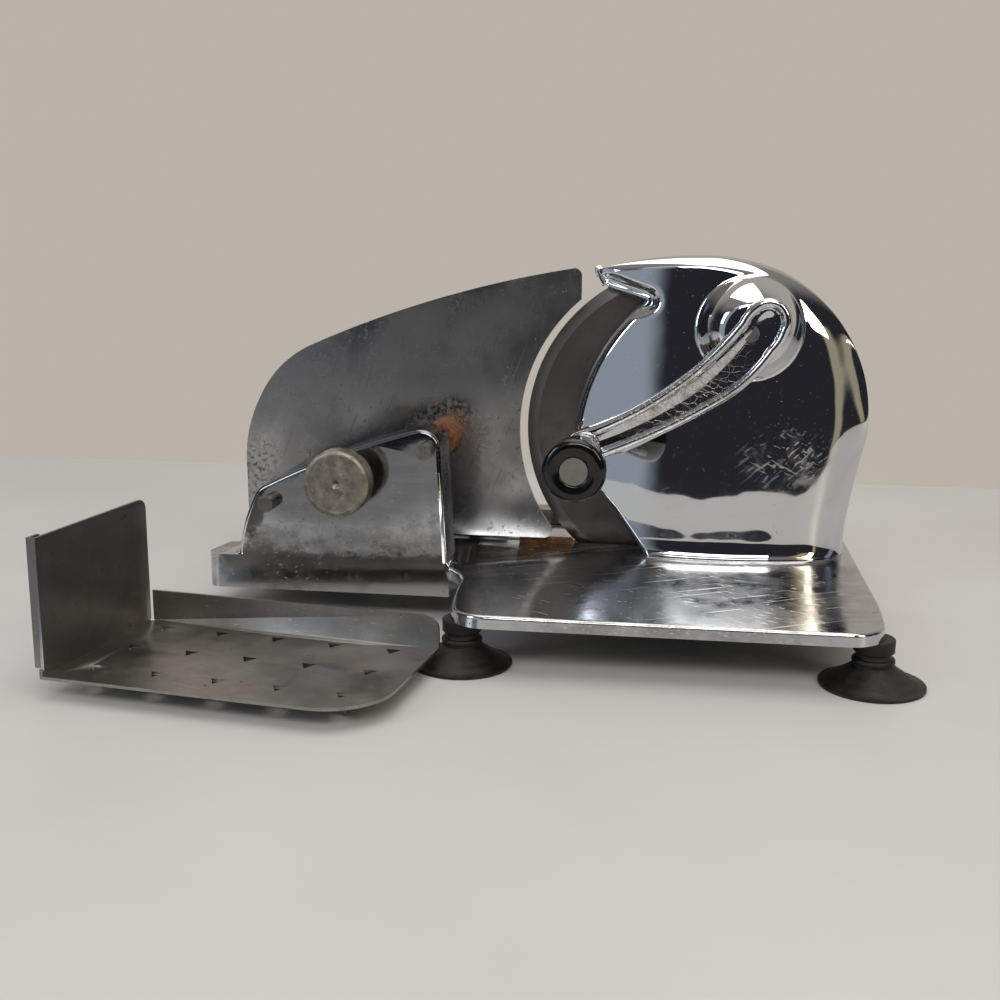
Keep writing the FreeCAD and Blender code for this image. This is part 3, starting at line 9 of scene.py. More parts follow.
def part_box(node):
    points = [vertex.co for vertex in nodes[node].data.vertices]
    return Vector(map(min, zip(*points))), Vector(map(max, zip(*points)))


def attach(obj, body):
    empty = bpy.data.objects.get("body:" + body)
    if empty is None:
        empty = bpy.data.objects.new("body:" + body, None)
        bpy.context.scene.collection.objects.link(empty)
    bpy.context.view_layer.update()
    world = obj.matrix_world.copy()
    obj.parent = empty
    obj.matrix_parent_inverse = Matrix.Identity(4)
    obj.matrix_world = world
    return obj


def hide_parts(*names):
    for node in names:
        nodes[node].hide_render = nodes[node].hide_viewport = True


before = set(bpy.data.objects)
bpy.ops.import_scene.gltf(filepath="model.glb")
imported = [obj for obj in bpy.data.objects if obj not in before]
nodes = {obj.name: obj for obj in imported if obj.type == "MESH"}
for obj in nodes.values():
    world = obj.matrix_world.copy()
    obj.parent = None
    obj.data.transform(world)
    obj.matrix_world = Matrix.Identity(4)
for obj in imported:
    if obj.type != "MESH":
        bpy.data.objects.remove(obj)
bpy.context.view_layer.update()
mm = 0.001
bladeAxis = (80.5, 59.1, 88.0)  # mm: the middle of the blade's cutting face


def ease(t):
    # smooth step: 3 t squared minus 2 t cubed, with t held between 0 and 1
    t = np.clip(t, 0.0, 1.0)
    return t * t * (3 - 2 * t)


def middleOf(node):
    low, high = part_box(node)
    return (low + high) / 2


def arcRun(corners, step=0.5):
    # a line through the corners; a corner's third number is the radius of the arc that leaves it,
    # and the arc's points are its centre plus the radius turned evenly from start to end
    runs = []
    for this, after in zip(corners[:-1], corners[1:]):
        start, end = np.array(this[:2], float), np.array(after[:2], float)
        chord = end - start
        length = np.hypot(*chord)
        count = max(2, int(length / step))
        t = np.arange(count)[:, None] / count
        if len(this) < 3:
            runs.append(start + t * chord)
            continue
        radius = this[2]
        left = np.array([-chord[1], chord[0]]) / length
        rise = math.sqrt(radius * radius - length * length / 4)
        centre = (start + end) / 2 + left * math.copysign(rise, radius)
        first = math.atan2(*(start - centre)[::-1])
        turn = 2 * math.asin(length / 2 / radius)
        angle = first + turn * t[:, 0]
        runs.append(centre + abs(radius) * np.stack([np.cos(angle), np.sin(angle)], -1))
    runs.append(np.array([corners[-1][:2]], float))
    return np.concatenate(runs)


def spaced(line, count):
    # the same line with its points at equal distances along it
    along = np.concatenate([[0], np.cumsum(np.hypot(*np.diff(line, axis=0).T))])
    at = np.linspace(0, along[-1], count)
    return np.stack([np.interp(at, along, line[:, 0]), np.interp(at, along, line[:, 1])], -1)


def sideBySide(firstRuns, secondRuns, counts):
    # two edges cut into the same numbers of rows, run by run, so that rows join matching places
    edges = []
    for runs in (firstRuns, secondRuns):
        parts = [spaced(run, count)[:-1] for run, count in zip(runs, counts)]
        edges.append(np.concatenate(parts + [runs[-1][-1:]]))
    return edges


def edgeDistance(points, line):
    # distance to the nearest segment, and how far along the line it lies, from 0 to 1
    start, way = line[:-1].astype(np.float32), np.diff(line, axis=0).astype(np.float32)
    away = points.astype(np.float32)[:, None, :] - start[None]
    share = np.clip((away * way).sum(-1) / (way * way).sum(-1), 0, 1)
    gap = np.linalg.norm(away - share[..., None] * way, axis=-1)
    nearest = gap.argmin(1)
    rows = np.arange(len(points))
    return gap[rows, nearest], (nearest + share[rows, nearest]) / len(start)


def gridFaces(rows, cols, ring=False, flip=False):
    # quads of a grid of points numbered row by row; a ring joins the last column to the first
    across = cols if ring else cols - 1
    row, col = np.meshgrid(np.arange(rows - 1), np.arange(across), indexing="ij")
    after = (col + 1) % cols
    quads = np.stack([row * cols + col, row * cols + after,
                      (row + 1) * cols + after, (row + 1) * cols + col], -1).reshape(-1, 4)
    return (quads[:, ::-1] if flip else quads).tolist()


def makePiece(name, points, faces, body, replaced=(), sharpDegrees=40):
    # points in mm; doubles at seams and poles are merged, and edges sharper than the angle stay
    # crisp
    mesh = bpy.data.meshes.new(name)
    mesh.from_pydata((np.asarray(points, float).reshape(-1, 3) * mm).tolist(), [], faces)
    built = bmesh.new()
    built.from_mesh(mesh)
    bmesh.ops.remove_doubles(built, verts=built.verts, dist=0.002 * mm)
    bmesh.ops.dissolve_degenerate(built, edges=built.edges, dist=0.001 * mm)
    built.to_mesh(mesh)
    built.free()
    mesh.polygons.foreach_set("use_smooth", np.ones(len(mesh.polygons), bool))
    mesh.set_sharp_from_angle(angle=math.radians(sharpDegrees))
    piece = bpy.data.objects.new(name, mesh)
    bpy.context.scene.collection.objects.link(piece)
    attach(piece, body)
    if replaced:
        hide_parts(*replaced)
    return piece


def turnedPiece(name, profile, place, way, count, body, replaced=(), radiusAt=None):
    # the profile (radius, distance along the axis) carried round the axis: radius times cosine and
    # sine of the angle across it; radiusAt may change the radius by angle and profile row
    profile = np.asarray(profile, float)
    angle = np.linspace(0, 2 * np.pi, count, endpoint=False)
    radius = np.repeat(profile[:, :1], count, 1)
    if radiusAt is not None:
        radius = radiusAt(radius, angle[None, :], profile)
    along = np.repeat(profile[:, 1:], count, 1)
    across, up = radius * np.cos(angle), radius * np.sin(angle)
    if way == "y":
        points = np.stack([place[0] + across, -along + place[1], place[2] + up], -1)
    else:
        points = np.stack([place[0] + across, place[1] + up, along + place[2]], -1)
    return makePiece(name, points, gridFaces(len(profile), count, ring=True, flip=way == "z"), body,
                     replaced)


def smoothCopy(name, node, body):
    # the same solid with its triangles joined, so that its rounds reflect without facets
    mesh = nodes[node].data.copy()
    mesh.name = name
    built = bmesh.new()
    built.from_mesh(mesh)
    bmesh.ops.remove_doubles(built, verts=built.verts, dist=0.001 * mm)
    built.to_mesh(mesh)
    built.free()
    mesh.polygons.foreach_set("use_smooth", np.ones(len(mesh.polygons), bool))
    mesh.set_sharp_from_angle(angle=math.radians(24))
    piece = bpy.data.objects.new(name, mesh)
    bpy.context.scene.collection.objects.link(piece)
    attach(piece, body)
    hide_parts(node)
    return piece


def linear(hexColour):
    # sRGB hex to linear: the power curve of 2.4 with its straight foot
    parts = [int(hexColour[i:i + 2], 16) / 255 for i in (1, 3, 5)]
    return tuple(part / 12.92 if part <= 0.04045 else ((part + 0.055) / 1.055) ** 2.4
                 for part in parts) + (1.0,)


def addNode(tree, kind, settings=None, inputs=None):
    # adds a node, sets its properties, then sets or links its sockets
    node = tree.nodes.new(kind)
    for key, value in (settings or {}).items():
        setattr(node, key, value)
    for key, value in (inputs or {}).items():
        if isinstance(value, bpy.types.NodeSocket):
            tree.links.new(value, node.inputs[key])
        else:
            node.inputs[key].default_value = value
    return node


def newFinish(name, metallic):
    finish = bpy.data.materials.new(name)
    finish.use_nodes = True
    tree = finish.node_tree
    shader = tree.nodes["Principled BSDF"]
    shader.inputs["Metallic"].default_value = metallic
    place = addNode(tree, "ShaderNodeTexCoord").outputs["Object"]
    return finish, tree, shader, place


def patches(tree, place, sizeMm, low, high, detail=5.0, stretch=(1, 1, 1), shift=(0, 0, 0),
            top=1.0):
    # cloudy noise cut between two levels: 0 below low, top above high; top may be another mask
    moved = addNode(tree, "ShaderNodeMapping", None,
                    {"Vector": place, "Scale": stretch, "Location": shift})
    noise = addNode(tree, "ShaderNodeTexNoise", None, {
        "Vector": moved.outputs["Vector"], "Scale": 1 / (sizeMm * mm), "Detail": detail,
        "Roughness": 0.62})
    cut = addNode(tree, "ShaderNodeMapRange", None, {
        "Value": noise.outputs["Fac"], "From Min": low, "From Max": high, "To Max": top})
    return cut.outputs["Result"]


def nearPoint(tree, place, point, inner, outer, squash=(1, 1, 1), top=1.0):
    # 1 at a point in mm, fading to 0 between two distances; squash stretches the distances
    scaled = [value * mm * part for value, part in zip(point, squash)]
    moved = addNode(tree, "ShaderNodeVectorMath", {"operation": "MULTIPLY"}, {0: place, 1: squash})
    gap = addNode(tree, "ShaderNodeVectorMath", {"operation": "DISTANCE"},
                  {0: moved.outputs["Vector"], 1: scaled})
    fade = addNode(tree, "ShaderNodeMapRange", {"interpolation_type": "SMOOTHSTEP"}, {
        "Value": gap.outputs["Value"], "From Min": inner * mm, "From Max": outer * mm,
        "To Min": top, "To Max": 0.0})
    return fade.outputs["Result"]


def fineLines(tree, place, widthMm, angle, low, top=1.0, long=0.03):
    # straight scratches: noise with cells 2.4 times their width, drawn out along one direction,
    # of which only the peaks are kept
    turned = addNode(tree, "ShaderNodeMapping", None, {"Vector": place, "Rotation": angle})
    drawn = addNode(tree, "ShaderNodeMapping", None,
                    {"Vector": turned.outputs["Vector"], "Scale": (long, 1.0, 1.0)})
    noise = addNode(tree, "ShaderNodeTexNoise", None, {
        "Vector": drawn.outputs["Vector"], "Scale": 1 / (widthMm * 2.4 * mm), "Detail": 1.5,
        "Roughness": 0.5})
    line = addNode(tree, "ShaderNodeMapRange", None, {
        "Value": noise.outputs["Fac"], "From Min": low, "From Max": low + 0.05, "To Max": top})
    return line.outputs["Result"]


def crazing(tree, place, cellMm, widthMm, top=1.0):
    # hairline cracks: the thin borders between cells scattered over the surface
    cells = addNode(tree, "ShaderNodeTexVoronoi", {"feature": "DISTANCE_TO_EDGE"},
                    {"Vector": place, "Scale": 1 / (cellMm * mm)})
    line = addNode(tree, "ShaderNodeMapRange", None, {
        "Value": cells.outputs["Distance"], "From Min": 0.0, "From Max": widthMm / cellMm,
        "To Min": top, "To Max": 0.0})
    return line.outputs["Result"]


def axisRings(tree, place, middle, sizeMm):
    # noise along the distance from an axis that points out of the front, and that distance
    centred = addNode(tree, "ShaderNodeMapping", None, {
        "Vector": place, "Location": (-middle.x, 0, -middle.z), "Scale": (1, 0, 1)})
    radius = addNode(tree, "ShaderNodeVectorMath", {"operation": "LENGTH"},
                     {0: centred.outputs["Vector"]}).outputs["Value"]
    rings = addNode(tree, "ShaderNodeTexNoise", {"noise_dimensions": "1D"}, {
        "W": radius, "Scale": 1 / (sizeMm * mm), "Detail": 3.0, "Roughness": 0.8})
    return rings.outputs["Fac"], radius


def layFinish(tree, shader, colour, roughness, layers, relief=()):
    # lays each layer (mask, colour, roughness) over the ones before, then stacks the relief
    # (height, depth in mm) as one bump over another
    colour = linear(colour)
    for mask, hexColour, layerRoughness in layers:
        if hexColour:
            colour = addNode(tree, "ShaderNodeMix", {"data_type": "RGBA"}, {
                "Factor": mask, "A": colour, "B": linear(hexColour)}).outputs["Result"]
        if layerRoughness is not None:
            roughness = addNode(tree, "ShaderNodeMix", {"data_type": "FLOAT"}, {
                "Factor": mask, "A": roughness, "B": layerRoughness}).outputs["Result"]
    tree.links.new(colour, shader.inputs["Base Color"])
    if isinstance(roughness, bpy.types.NodeSocket):
        tree.links.new(roughness, shader.inputs["Roughness"])
    else:
        shader.inputs["Roughness"].default_value = roughness
    under = None
    for height, depthMm in relief:
        inputs = {"Height": height, "Distance": depthMm * mm}
        if under is not None:
            inputs["Normal"] = under
        under = addNode(tree, "ShaderNodeBump", None, inputs).outputs["Normal"]
    if under is not None:
        tree.links.new(under, shader.inputs["Normal"])


# the table, the room behind it, the lamps and the camera
stageLook = {
    "floor": "#c7c8c9", "floorShade": "#bfbfbf", "floorScuff": "#a39c92", "floorRoughness": 0.42,
    "floorSheen": 0.3, "floorSides": (-2.6, 2.6), "floorFront": -0.62, "floorBack": 0.385,
    "wall": "#b9b2a8", "dark": "#2a2a2f", "ceiling": "#8c8883", "roomLight": 1.0,
    "wallFade": (0.10, 0.60), "ceilingFade": (0.45, 0.8), "panelFade": 0.3}
# soft bright panels in the room: direction, half width and half height, soft edge
roomPanels = {
    "leftWindow": {"way": (-0.66, -0.74, 0.16), "half": (0.26, 0.30), "soft": 0.16,
                   "colour": "#9aa3ac"},
    "leftPanel": {"way": (-0.30, -0.72, 0.62), "half": (0.12, 0.05), "soft": 0.06,
                  "colour": "#cfd3d6"},
    "rightPanel": {"way": (0.60, -0.62, 0.46), "half": (0.10, 0.16), "soft": 0.05,
                   "colour": "#b5a67f"},
    "lowRight": {"way": (0.80, -0.60, 0.10), "half": (0.03, 0.16), "soft": 0.04,
                 "colour": "#a39a84"},
    "farRight": {"way": (0.97, -0.10, 0.12), "half": (0.04, 0.30), "soft": 0.05,
                 "colour": "#7d8794"},
}
lamps = {
    "overhead": {"place": (0.1, 0.05, 1.5), "aim": (0, 0, 0), "size": (1.6, 1.1),
                 "watts": 12.5, "colour": "#fffaf4"},
    "frontAbove": {"place": (0.25, -1.5, 1.25), "aim": (0, 0, 0.08), "size": (1.3, 0.5),
                   "watts": 12, "colour": "#fffdf8"},
    "windowLeft": {"place": (-1.4, -1.1, 0.9), "aim": (0, 0, 0.05), "size": (0.5, 0.8),
                   "watts": 7, "colour": "#eef4ff"},
    "panelRight": {"place": (1.3, -1.0, 0.9), "aim": (0, 0, 0.08), "size": (0.35, 0.9),
                   "watts": 6, "colour": "#fff0d8"},
}
cameraLook = {"place": (70.4, -578.2, 184.5), "turnDegrees": 7.90, "downDegrees": 12.022,
              "rollDegrees": 0.403, "lensMm": 44.50}


def buildStage():
    look = stageLook
    mesh = bpy.data.meshes.new("tableTop")
    (left, right), front, back = look["floorSides"], look["floorFront"], look["floorBack"]
    mesh.from_pydata([(left, front, 0), (right, front, 0), (right, back, 0), (left, back, 0)], [],
                     [(0, 1, 2, 3)])
    floor = bpy.data.objects.new("tableTop", mesh)
    bpy.context.scene.collection.objects.link(floor)
    # painted board: matt, with faint cloudiness and a few scuffs
    paint, tree, shader, place = newFinish("paintedBoard", 0.0)
    shader.inputs["Specular IOR Level"].default_value = look["floorSheen"]
    layFinish(tree, shader, look["floor"], look["floorRoughness"], [
        (patches(tree, place, 160, 0.35, 0.7, top=0.6), look["floorShade"], None),
        (patches(tree, place, 9, 0.72, 0.76, detail=6.0, top=0.35), look["floorScuff"], None),
    ])
    mesh.materials.append(paint)
    # the room: a pale wall behind, a dark middle in front, a grey ceiling and soft bright panels
    world = bpy.data.worlds.new("room")
    bpy.context.scene.world = world
    world.use_nodes = True
    tree = world.node_tree
    tree.nodes.clear()
    direction = addNode(tree, "ShaderNodeTexCoord").outputs["Generated"]
    split = addNode(tree, "ShaderNodeSeparateXYZ", None, {"Vector": direction})
    towardsWall = addNode(tree, "ShaderNodeMapRange", {"interpolation_type": "SMOOTHSTEP"}, {
        "Value": split.outputs["Y"], "From Min": look["wallFade"][0],
        "From Max": look["wallFade"][1]})
    upwards = addNode(tree, "ShaderNodeMapRange", {"interpolation_type": "SMOOTHSTEP"}, {
        "Value": split.outputs["Z"], "From Min": look["ceilingFade"][0],
        "From Max": look["ceilingFade"][1]})
    colour = addNode(tree, "ShaderNodeMix", {"data_type": "RGBA"}, {
        "Factor": upwards.outputs["Result"], "A": linear(look["dark"]),
        "B": linear(look["ceiling"])}).outputs["Result"]
    for panel in roomPanels.values():
        # 1 where the direction leans less than the half sizes to the panel's side and above it
        towards = Vector(panel["way"]).normalized()
        across = towards.cross(Vector((0, 0, 1))).normalized()
        glow = addNode(tree, "ShaderNodeMapRange", None, {
            "Value": addNode(tree, "ShaderNodeVectorMath", {"operation": "DOT_PRODUCT"}, {
                0: direction, 1: towards}).outputs["Value"],
            "From Min": 0.0, "From Max": look["panelFade"]}).outputs["Result"]
        for axis, half in ((across, panel["half"][0]), (across.cross(towards), panel["half"][1])):
            lean = addNode(tree, "ShaderNodeVectorMath", {"operation": "DOT_PRODUCT"}, {
                0: direction, 1: axis}).outputs["Value"]
            size = addNode(tree, "ShaderNodeMath", {"operation": "ABSOLUTE"}, {0: lean})
            glow = addNode(tree, "ShaderNodeMapRange", {"interpolation_type": "SMOOTHSTEP"}, {
                "Value": size.outputs["Value"], "From Min": half, "From Max": half + panel["soft"],
                "To Min": glow, "To Max": 0.0}).outputs["Result"]
        colour = addNode(tree, "ShaderNodeMix", {"data_type": "RGBA"}, {
            "Factor": glow, "A": colour, "B": linear(panel["colour"])}).outputs["Result"]
    colour = addNode(tree, "ShaderNodeMix", {"data_type": "RGBA"}, {
        "Factor": towardsWall.outputs["Result"], "A": colour,
        "B": linear(look["wall"])}).outputs["Result"]
    light = addNode(tree, "ShaderNodeBackground", None,
                    {"Color": colour, "Strength": look["roomLight"]})
    addNode(tree, "ShaderNodeOutputWorld", None, {"Surface": light.outputs["Background"]})
    for name, lamp in lamps.items():
        data = bpy.data.lights.new(name, "AREA")
        data.shape = "RECTANGLE"
        data.size, data.size_y = lamp["size"]
        data.energy = lamp["watts"]
        data.color = linear(lamp["colour"])[:3]
        item = bpy.data.objects.new(name, data)
        bpy.context.scene.collection.objects.link(item)
        item.location = lamp["place"]
        aim = Vector(lamp["aim"]) - item.location
        item.rotation_euler = aim.to_track_quat("-Z", "Y").to_euler()
    look = cameraLook
    data = bpy.data.cameras.new("camera")
    data.sensor_width = 36
    data.lens = look["lensMm"]
    camera = bpy.data.objects.new("camera", data)
    bpy.context.scene.collection.objects.link(camera)
    camera.matrix_world = (Matrix.Translation([part * mm for part in look["place"]])
                           @ Matrix.Rotation(math.radians(look["turnDegrees"]), 4, "Z")
                           @ Matrix.Rotation(math.radians(90 - look["downDegrees"]), 4, "X")
                           @ Matrix.Rotation(math.radians(look["rollDegrees"]), 4, "Z"))
    bpy.context.scene.camera = camera
    bpy.context.scene.view_settings.view_transform = "Standard"
    print("stage, lamps and camera are in place")


# blade housing, in mm round the blade's axis: a bulging cover with a rolled shoulder, a boss and
# a hook; crown gives x, z and the depth there, and sideways and upwards how slowly it falls
coverLook = {
    "wall": 2.2, "columns": 150, "rows": [22, 44, 120, 56, 24], "wallSteps": 4,
    "crown": (12.0, -115.0, 27.0), "sideways": 170.0, "upwards": 1500.0,
    "leftShoulder": 4.5, "edgeStart": 4.0, "backEdge": 4.0, "bladeSide": 3.4,
    "clearRadius": 85.2, "clearFade": 0.4,
    "boss": (26.1, 52.4), "bossHeight": 33.0, "bossFlat": 11.0, "bossFall": 0.085,
    "bossBlend": 0.7, "footLevel": -61.2, "flare": 2.6, "flareFade": 3.0,
    "groove": 3.2, "grooveFrom": (2, 56), "grooveFade": (10, 8), "grooveGap": 3.8,
    "grooveWidth": 2.6}
# the way along the right edge, from the foot to the hook, and the shoulder's width in mm there
coverShoulder = ([0.0, 0.08, 0.30, 0.42, 0.55, 0.72, 0.90, 1.0], [19, 19, 20, 17, 11, 6.5, 5, 3])
# x, z and, where an arc leaves the corner, its radius
coverCorners = {
    "footLeft": (-23.5, -61.2), "low": (-39.18, -40.57, -60), "widest": (-59.08, 1.34, -100),
    "root": (-25.11, 65.77), "hookNear": (-40.0, 70.76), "hookUnder": (-43.7, 72.0),
    "footRight": (79.3, -61.2), "hip": (79.37, -47.69, -400), "rim": (87.25, -3.05, 82),
    "shoulder": (40.32, 81.58, 104), "crown": (1.23, 88.19, 172), "hookTop": (-48.7, 80.8)}


def coverDepth(x, z, leftGap, rightGap, rightWay):
    # mm in front of the blade: a dome whose fall grows with the square of the distance from its
    # crown, times a quarter-ellipse shoulder at each edge, with the round boss and the flare added
    look = coverLook
    crownX, crownZ, crownDepth = look["crown"]
    dome = (crownDepth - (x - crownX) ** 2 / (2 * look["sideways"])
            - (z - crownZ) ** 2 / (2 * look["upwards"]))
    shoulder = np.interp(rightWay, *coverShoulder)
    rise = 1.0
    for gap, width in ((leftGap, look["leftShoulder"]), (rightGap, shoulder)):
        share = 1 - np.clip(gap / width, 0, 1)
        rise = rise * np.sqrt(1 - share ** 2)
    # under the hook a groove follows the left edge: a bell curve across it, fading out downwards
    (fromX, fromZ), (fadeX, fadeZ) = look["grooveFrom"], look["grooveFade"]
    hollow = (ease((z - fromZ) / fadeZ) * ease((fromX - x) / fadeX)
              * np.exp(-((leftGap - look["grooveGap"]) / look["grooveWidth"]) ** 2))
    face = look["edgeStart"] + (dome - look["edgeStart"] - look["groove"] * hollow) * rise
    reach = np.hypot(x - look["boss"][0], z - look["boss"][1])
    boss = look["bossHeight"] - look["bossFall"] * np.clip(reach - look["bossFlat"], 0, None) ** 2
    # the soft maximum of face and boss: the logarithm of the sum of their exponentials
    blend = look["bossBlend"]
    face = np.logaddexp(face / blend, boss / blend) * blend
    face = np.minimum(face, look["bossHeight"])
    return face + look["flare"] * np.exp(-(z - look["footLevel"]) / look["flareFade"]) * rise


def buildCover():
    look, at = coverLook, coverCorners
    leftRuns = [arcRun([at["footLeft"], at["low"]]), arcRun([at["low"], at["widest"]]),
                arcRun([at["widest"], at["root"]]), arcRun([at["root"], at["hookNear"]]),
                arcRun([at["hookNear"], at["hookUnder"]], 0.2)]
    rightRuns = [arcRun([at["footRight"], at["hip"]]), arcRun([at["hip"], at["rim"]]),
                 arcRun([at["rim"], at["shoulder"], at["crown"]]),
                 arcRun([at["crown"], at["hookTop"]]),
                 arcRun([at["hookTop"], at["hookUnder"]], 0.2)]
    left, right = sideBySide(leftRuns, rightRuns, look["rows"])
    rows, cols = len(left), look["columns"]
    # columns cross from the left edge to the right, closer together near both, by half a cosine
    share = (1 - np.cos(np.linspace(0, np.pi, cols))) / 2
    flat = left[:, None] * (1 - share[None, :, None]) + right[:, None] * share[None, :, None]
    leftLine = np.concatenate([run[:-1] for run in leftRuns])
    leftGap = edgeDistance(flat.reshape(-1, 2), leftLine)[0]
    rightLine = np.concatenate([run[:-1] for run in rightRuns] + [right[-1:]])
    rightGap, rightWay = edgeDistance(flat.reshape(-1, 2), rightLine)
    x, z = flat.reshape(-1, 2).T
    depth = coverDepth(x, z, leftGap, rightGap, rightWay).reshape(rows, cols)
    front = np.stack([flat[..., 0], -depth, flat[..., 1]], -1)
    # the side walls run back from the face: past the blade's plane outside its circle, and short
    # of it inside
    walls, wallSteps, fade = [], look["wallSteps"], look["clearFade"]
    for edge, rimDepth in ((left, depth[:, 0]), (right, depth[:, -1])):
        outside = ease((np.hypot(*edge.T) - look["clearRadius"] + fade) / (2 * fade))
        back = -(look["bladeSide"] * (1 - outside) - look["backEdge"] * outside)
        steps = np.linspace(0, 1, wallSteps + 1)[:-1]
        y = back[:, None] * (1 - steps) - rimDepth[:, None] * steps
        walls.append(np.stack([np.repeat(edge[:, :1], wallSteps, 1), y,
                               np.repeat(edge[:, 1:], wallSteps, 1)], -1))
    grid = np.concatenate([walls[0], front, walls[1][:, ::-1]], 1) + np.array([bladeAxis])
    cover = makePiece("housingCover", grid, gridFaces(rows, cols + 2 * wallSteps), "base",
                      ["blade_housing"], sharpDegrees=50)
    thicken = cover.modifiers.new("wall", "SOLIDIFY")
    thicken.thickness = look["wall"] * mm
    thicken.offset = -1
    print("housing cover is shaped")
    return cover


# crank arm: a curved channel with round ribs, and its grip
armLook = {
    "angleDegrees": 215.9, "pivot": (106.6, 140.4), "back": 33.6, "face": 41.5,
    "ribWidth": 4.6, "ribHeight": 2.4, "dish": 0.5, "dishFade": 6, "columns": 90,
    "rows": [26, 130, 44], "neckRadius": 7.7, "neckFrom": 36.0, "neckTo": 44.4,
    "neckBore": 3.4, "neckSink": 2}
# along the arm and across it in mm, and the radius of the arc that leaves the corner
armCorners = {
    "tipTop": (104.2, 0, 8.6), "tipLow": (95.6, 8.6, 330), "belly": (26.8, 20, 75),
    "heelLow": (-4.3, 14.4, 22), "noseLow": (-14.6, 9.6, 11), "nose": (-20.6, 0, 10.5),
    "noseHigh": (-13.2, -10.7, 20), "heelHigh": (1.2, -8.2, -158), "tipHigh": (95.6, -8.6, 8.6)}
gripLook = {
    "place": (29.16, 59.1, 84.3), "front": 107.7, "back": 44.7, "faceRadius": 14.3,
    "neckRadius": 7.4, "neckWall": 0.6, "discRadius": 6.5, "discSink": 2.4, "boreRadius": 3.3,
    "edgeAcross": 3.2, "edgeAlong": 3.0}


def buildArm():
    look, at = armLook, armCorners
    lowRuns = [arcRun([at["tipTop"], at["tipLow"]], 0.25),
               arcRun([at["tipLow"], at["belly"], at["heelLow"]]),
               arcRun([at["heelLow"], at["noseLow"], at["nose"]], 0.25)]
    highRuns = [arcRun([at["tipHigh"], at["tipTop"]], 0.25)[::-1],
                arcRun([at["heelHigh"], at["tipHigh"]])[::-1],
                arcRun([at["nose"], at["noseHigh"], at["heelHigh"]], 0.25)[::-1]]
    low, high = sideBySide(lowRuns, highRuns, look["rows"])
    rows, cols = len(low), look["columns"]
    share = (1 - np.cos(np.linspace(0, np.pi, cols))) / 2
    flat = low[:, None] * (1 - share[None, :, None]) + high[:, None] * share[None, :, None]
    outline = np.concatenate([low, high[::-1]])
    gap = edgeDistance(flat.reshape(-1, 2), outline)[0].reshape(rows, cols)
    # the rib is a half ellipse across its width; inside it the floor is a little dished
    ribWidth, ribHeight, half = look["ribWidth"], look["ribHeight"], look["ribWidth"] / 2
    rib = np.sqrt(np.clip(1 - ((gap - half) / half) ** 2, 0, 1))
    height = look["face"] - ribHeight + ribHeight * np.where(gap < ribWidth, rib, 0)
    height = height - look["dish"] * ease((gap - ribWidth) / look["dishFade"])
    backFace = np.full_like(height, look["back"])
    top = np.concatenate([flat, height[..., None]], -1)
    bottom = np.concatenate([flat, backFace[..., None]], -1)[:, ::-1]
    loop = np.concatenate([top, bottom], 1)
    angle = math.radians(look["angleDegrees"])
    u, v, depth = loop[..., 0], loop[..., 1], loop[..., 2]
    x = look["pivot"][0] + u * math.cos(angle) - v * math.sin(angle)
    z = look["pivot"][1] + u * math.sin(angle) + v * math.cos(angle)
    points = np.stack([x, bladeAxis[1] - depth, z], -1)
    arm = makePiece("crankArmChannel", points, gridFaces(rows, cols * 2, ring=True, flip=True),
                    "crank", ["crank_arm"], sharpDegrees=60)
    radius, start, end = look["neckRadius"], look["neckFrom"], look["neckTo"]
    bore, floor = look["neckBore"], end - look["neckSink"]
    profile = [(0, start), (radius, start), (radius, end - 0.8), (radius - 0.3, end - 0.25),
               (radius - 0.9, end), (bore, end), (bore, floor), (0, floor)]
    neck = turnedPiece("crankArmNeck", profile, gripLook["place"], "y", 72, "crank")
    print("crank arm is shaped")
    return arm, neck


def buildGrip():
    look = gripLook
    front, back = look["front"], look["back"]
    # the side flares: neck radius plus the rest times a smooth step of the way, raised to 0.85
    along = np.linspace(0, 1, 40)
    widening = look["faceRadius"] - look["neckRadius"]
    flare = look["neckRadius"] + widening * ease(along * 0.96) ** 0.85
    edgeAcross, edgeAlong = look["edgeAcross"], look["edgeAlong"]
    side = np.stack([flare, back + along * (front - back - edgeAlong)], -1)
    turn = np.linspace(0, np.pi / 2, 9)[1:]
    edge = np.stack([look["faceRadius"] - edgeAcross + edgeAcross * np.cos(turn),
                     front - edgeAlong + edgeAlong * np.sin(turn)], -1)
    disc, floor = look["discRadius"], front - look["discSink"]
    start = look["neckRadius"] - look["neckWall"]
    bore = [(disc + 0.5, front), (disc + 0.1, front - 0.3), (disc, front - 0.8), (disc, floor),
            (look["boreRadius"], floor), (look["boreRadius"], back), (start, back)]
    profile = np.concatenate([[(start, back)], side, edge, bore])
    grip = turnedPiece("crankGripTurned", profile, look["place"], "y", 96, "grip",
                       ["crank_grip"])
    print("grip is turned")
    return grip


# thumb knob: turned alloy with a fine straight knurl
knobLook = {
    "place": (-83.5, 59.1, 70.8), "front": 87.9, "neckFront": 76.6, "back": 66.4, "radius": 16.0,
    "neck": 9.0, "bore": 3.1, "boreDepth": 1.0, "rimLength": 8.6, "rimSteps": 8,
    "faceRings": 34, "teeth": 96, "toothDepth": 0.42}


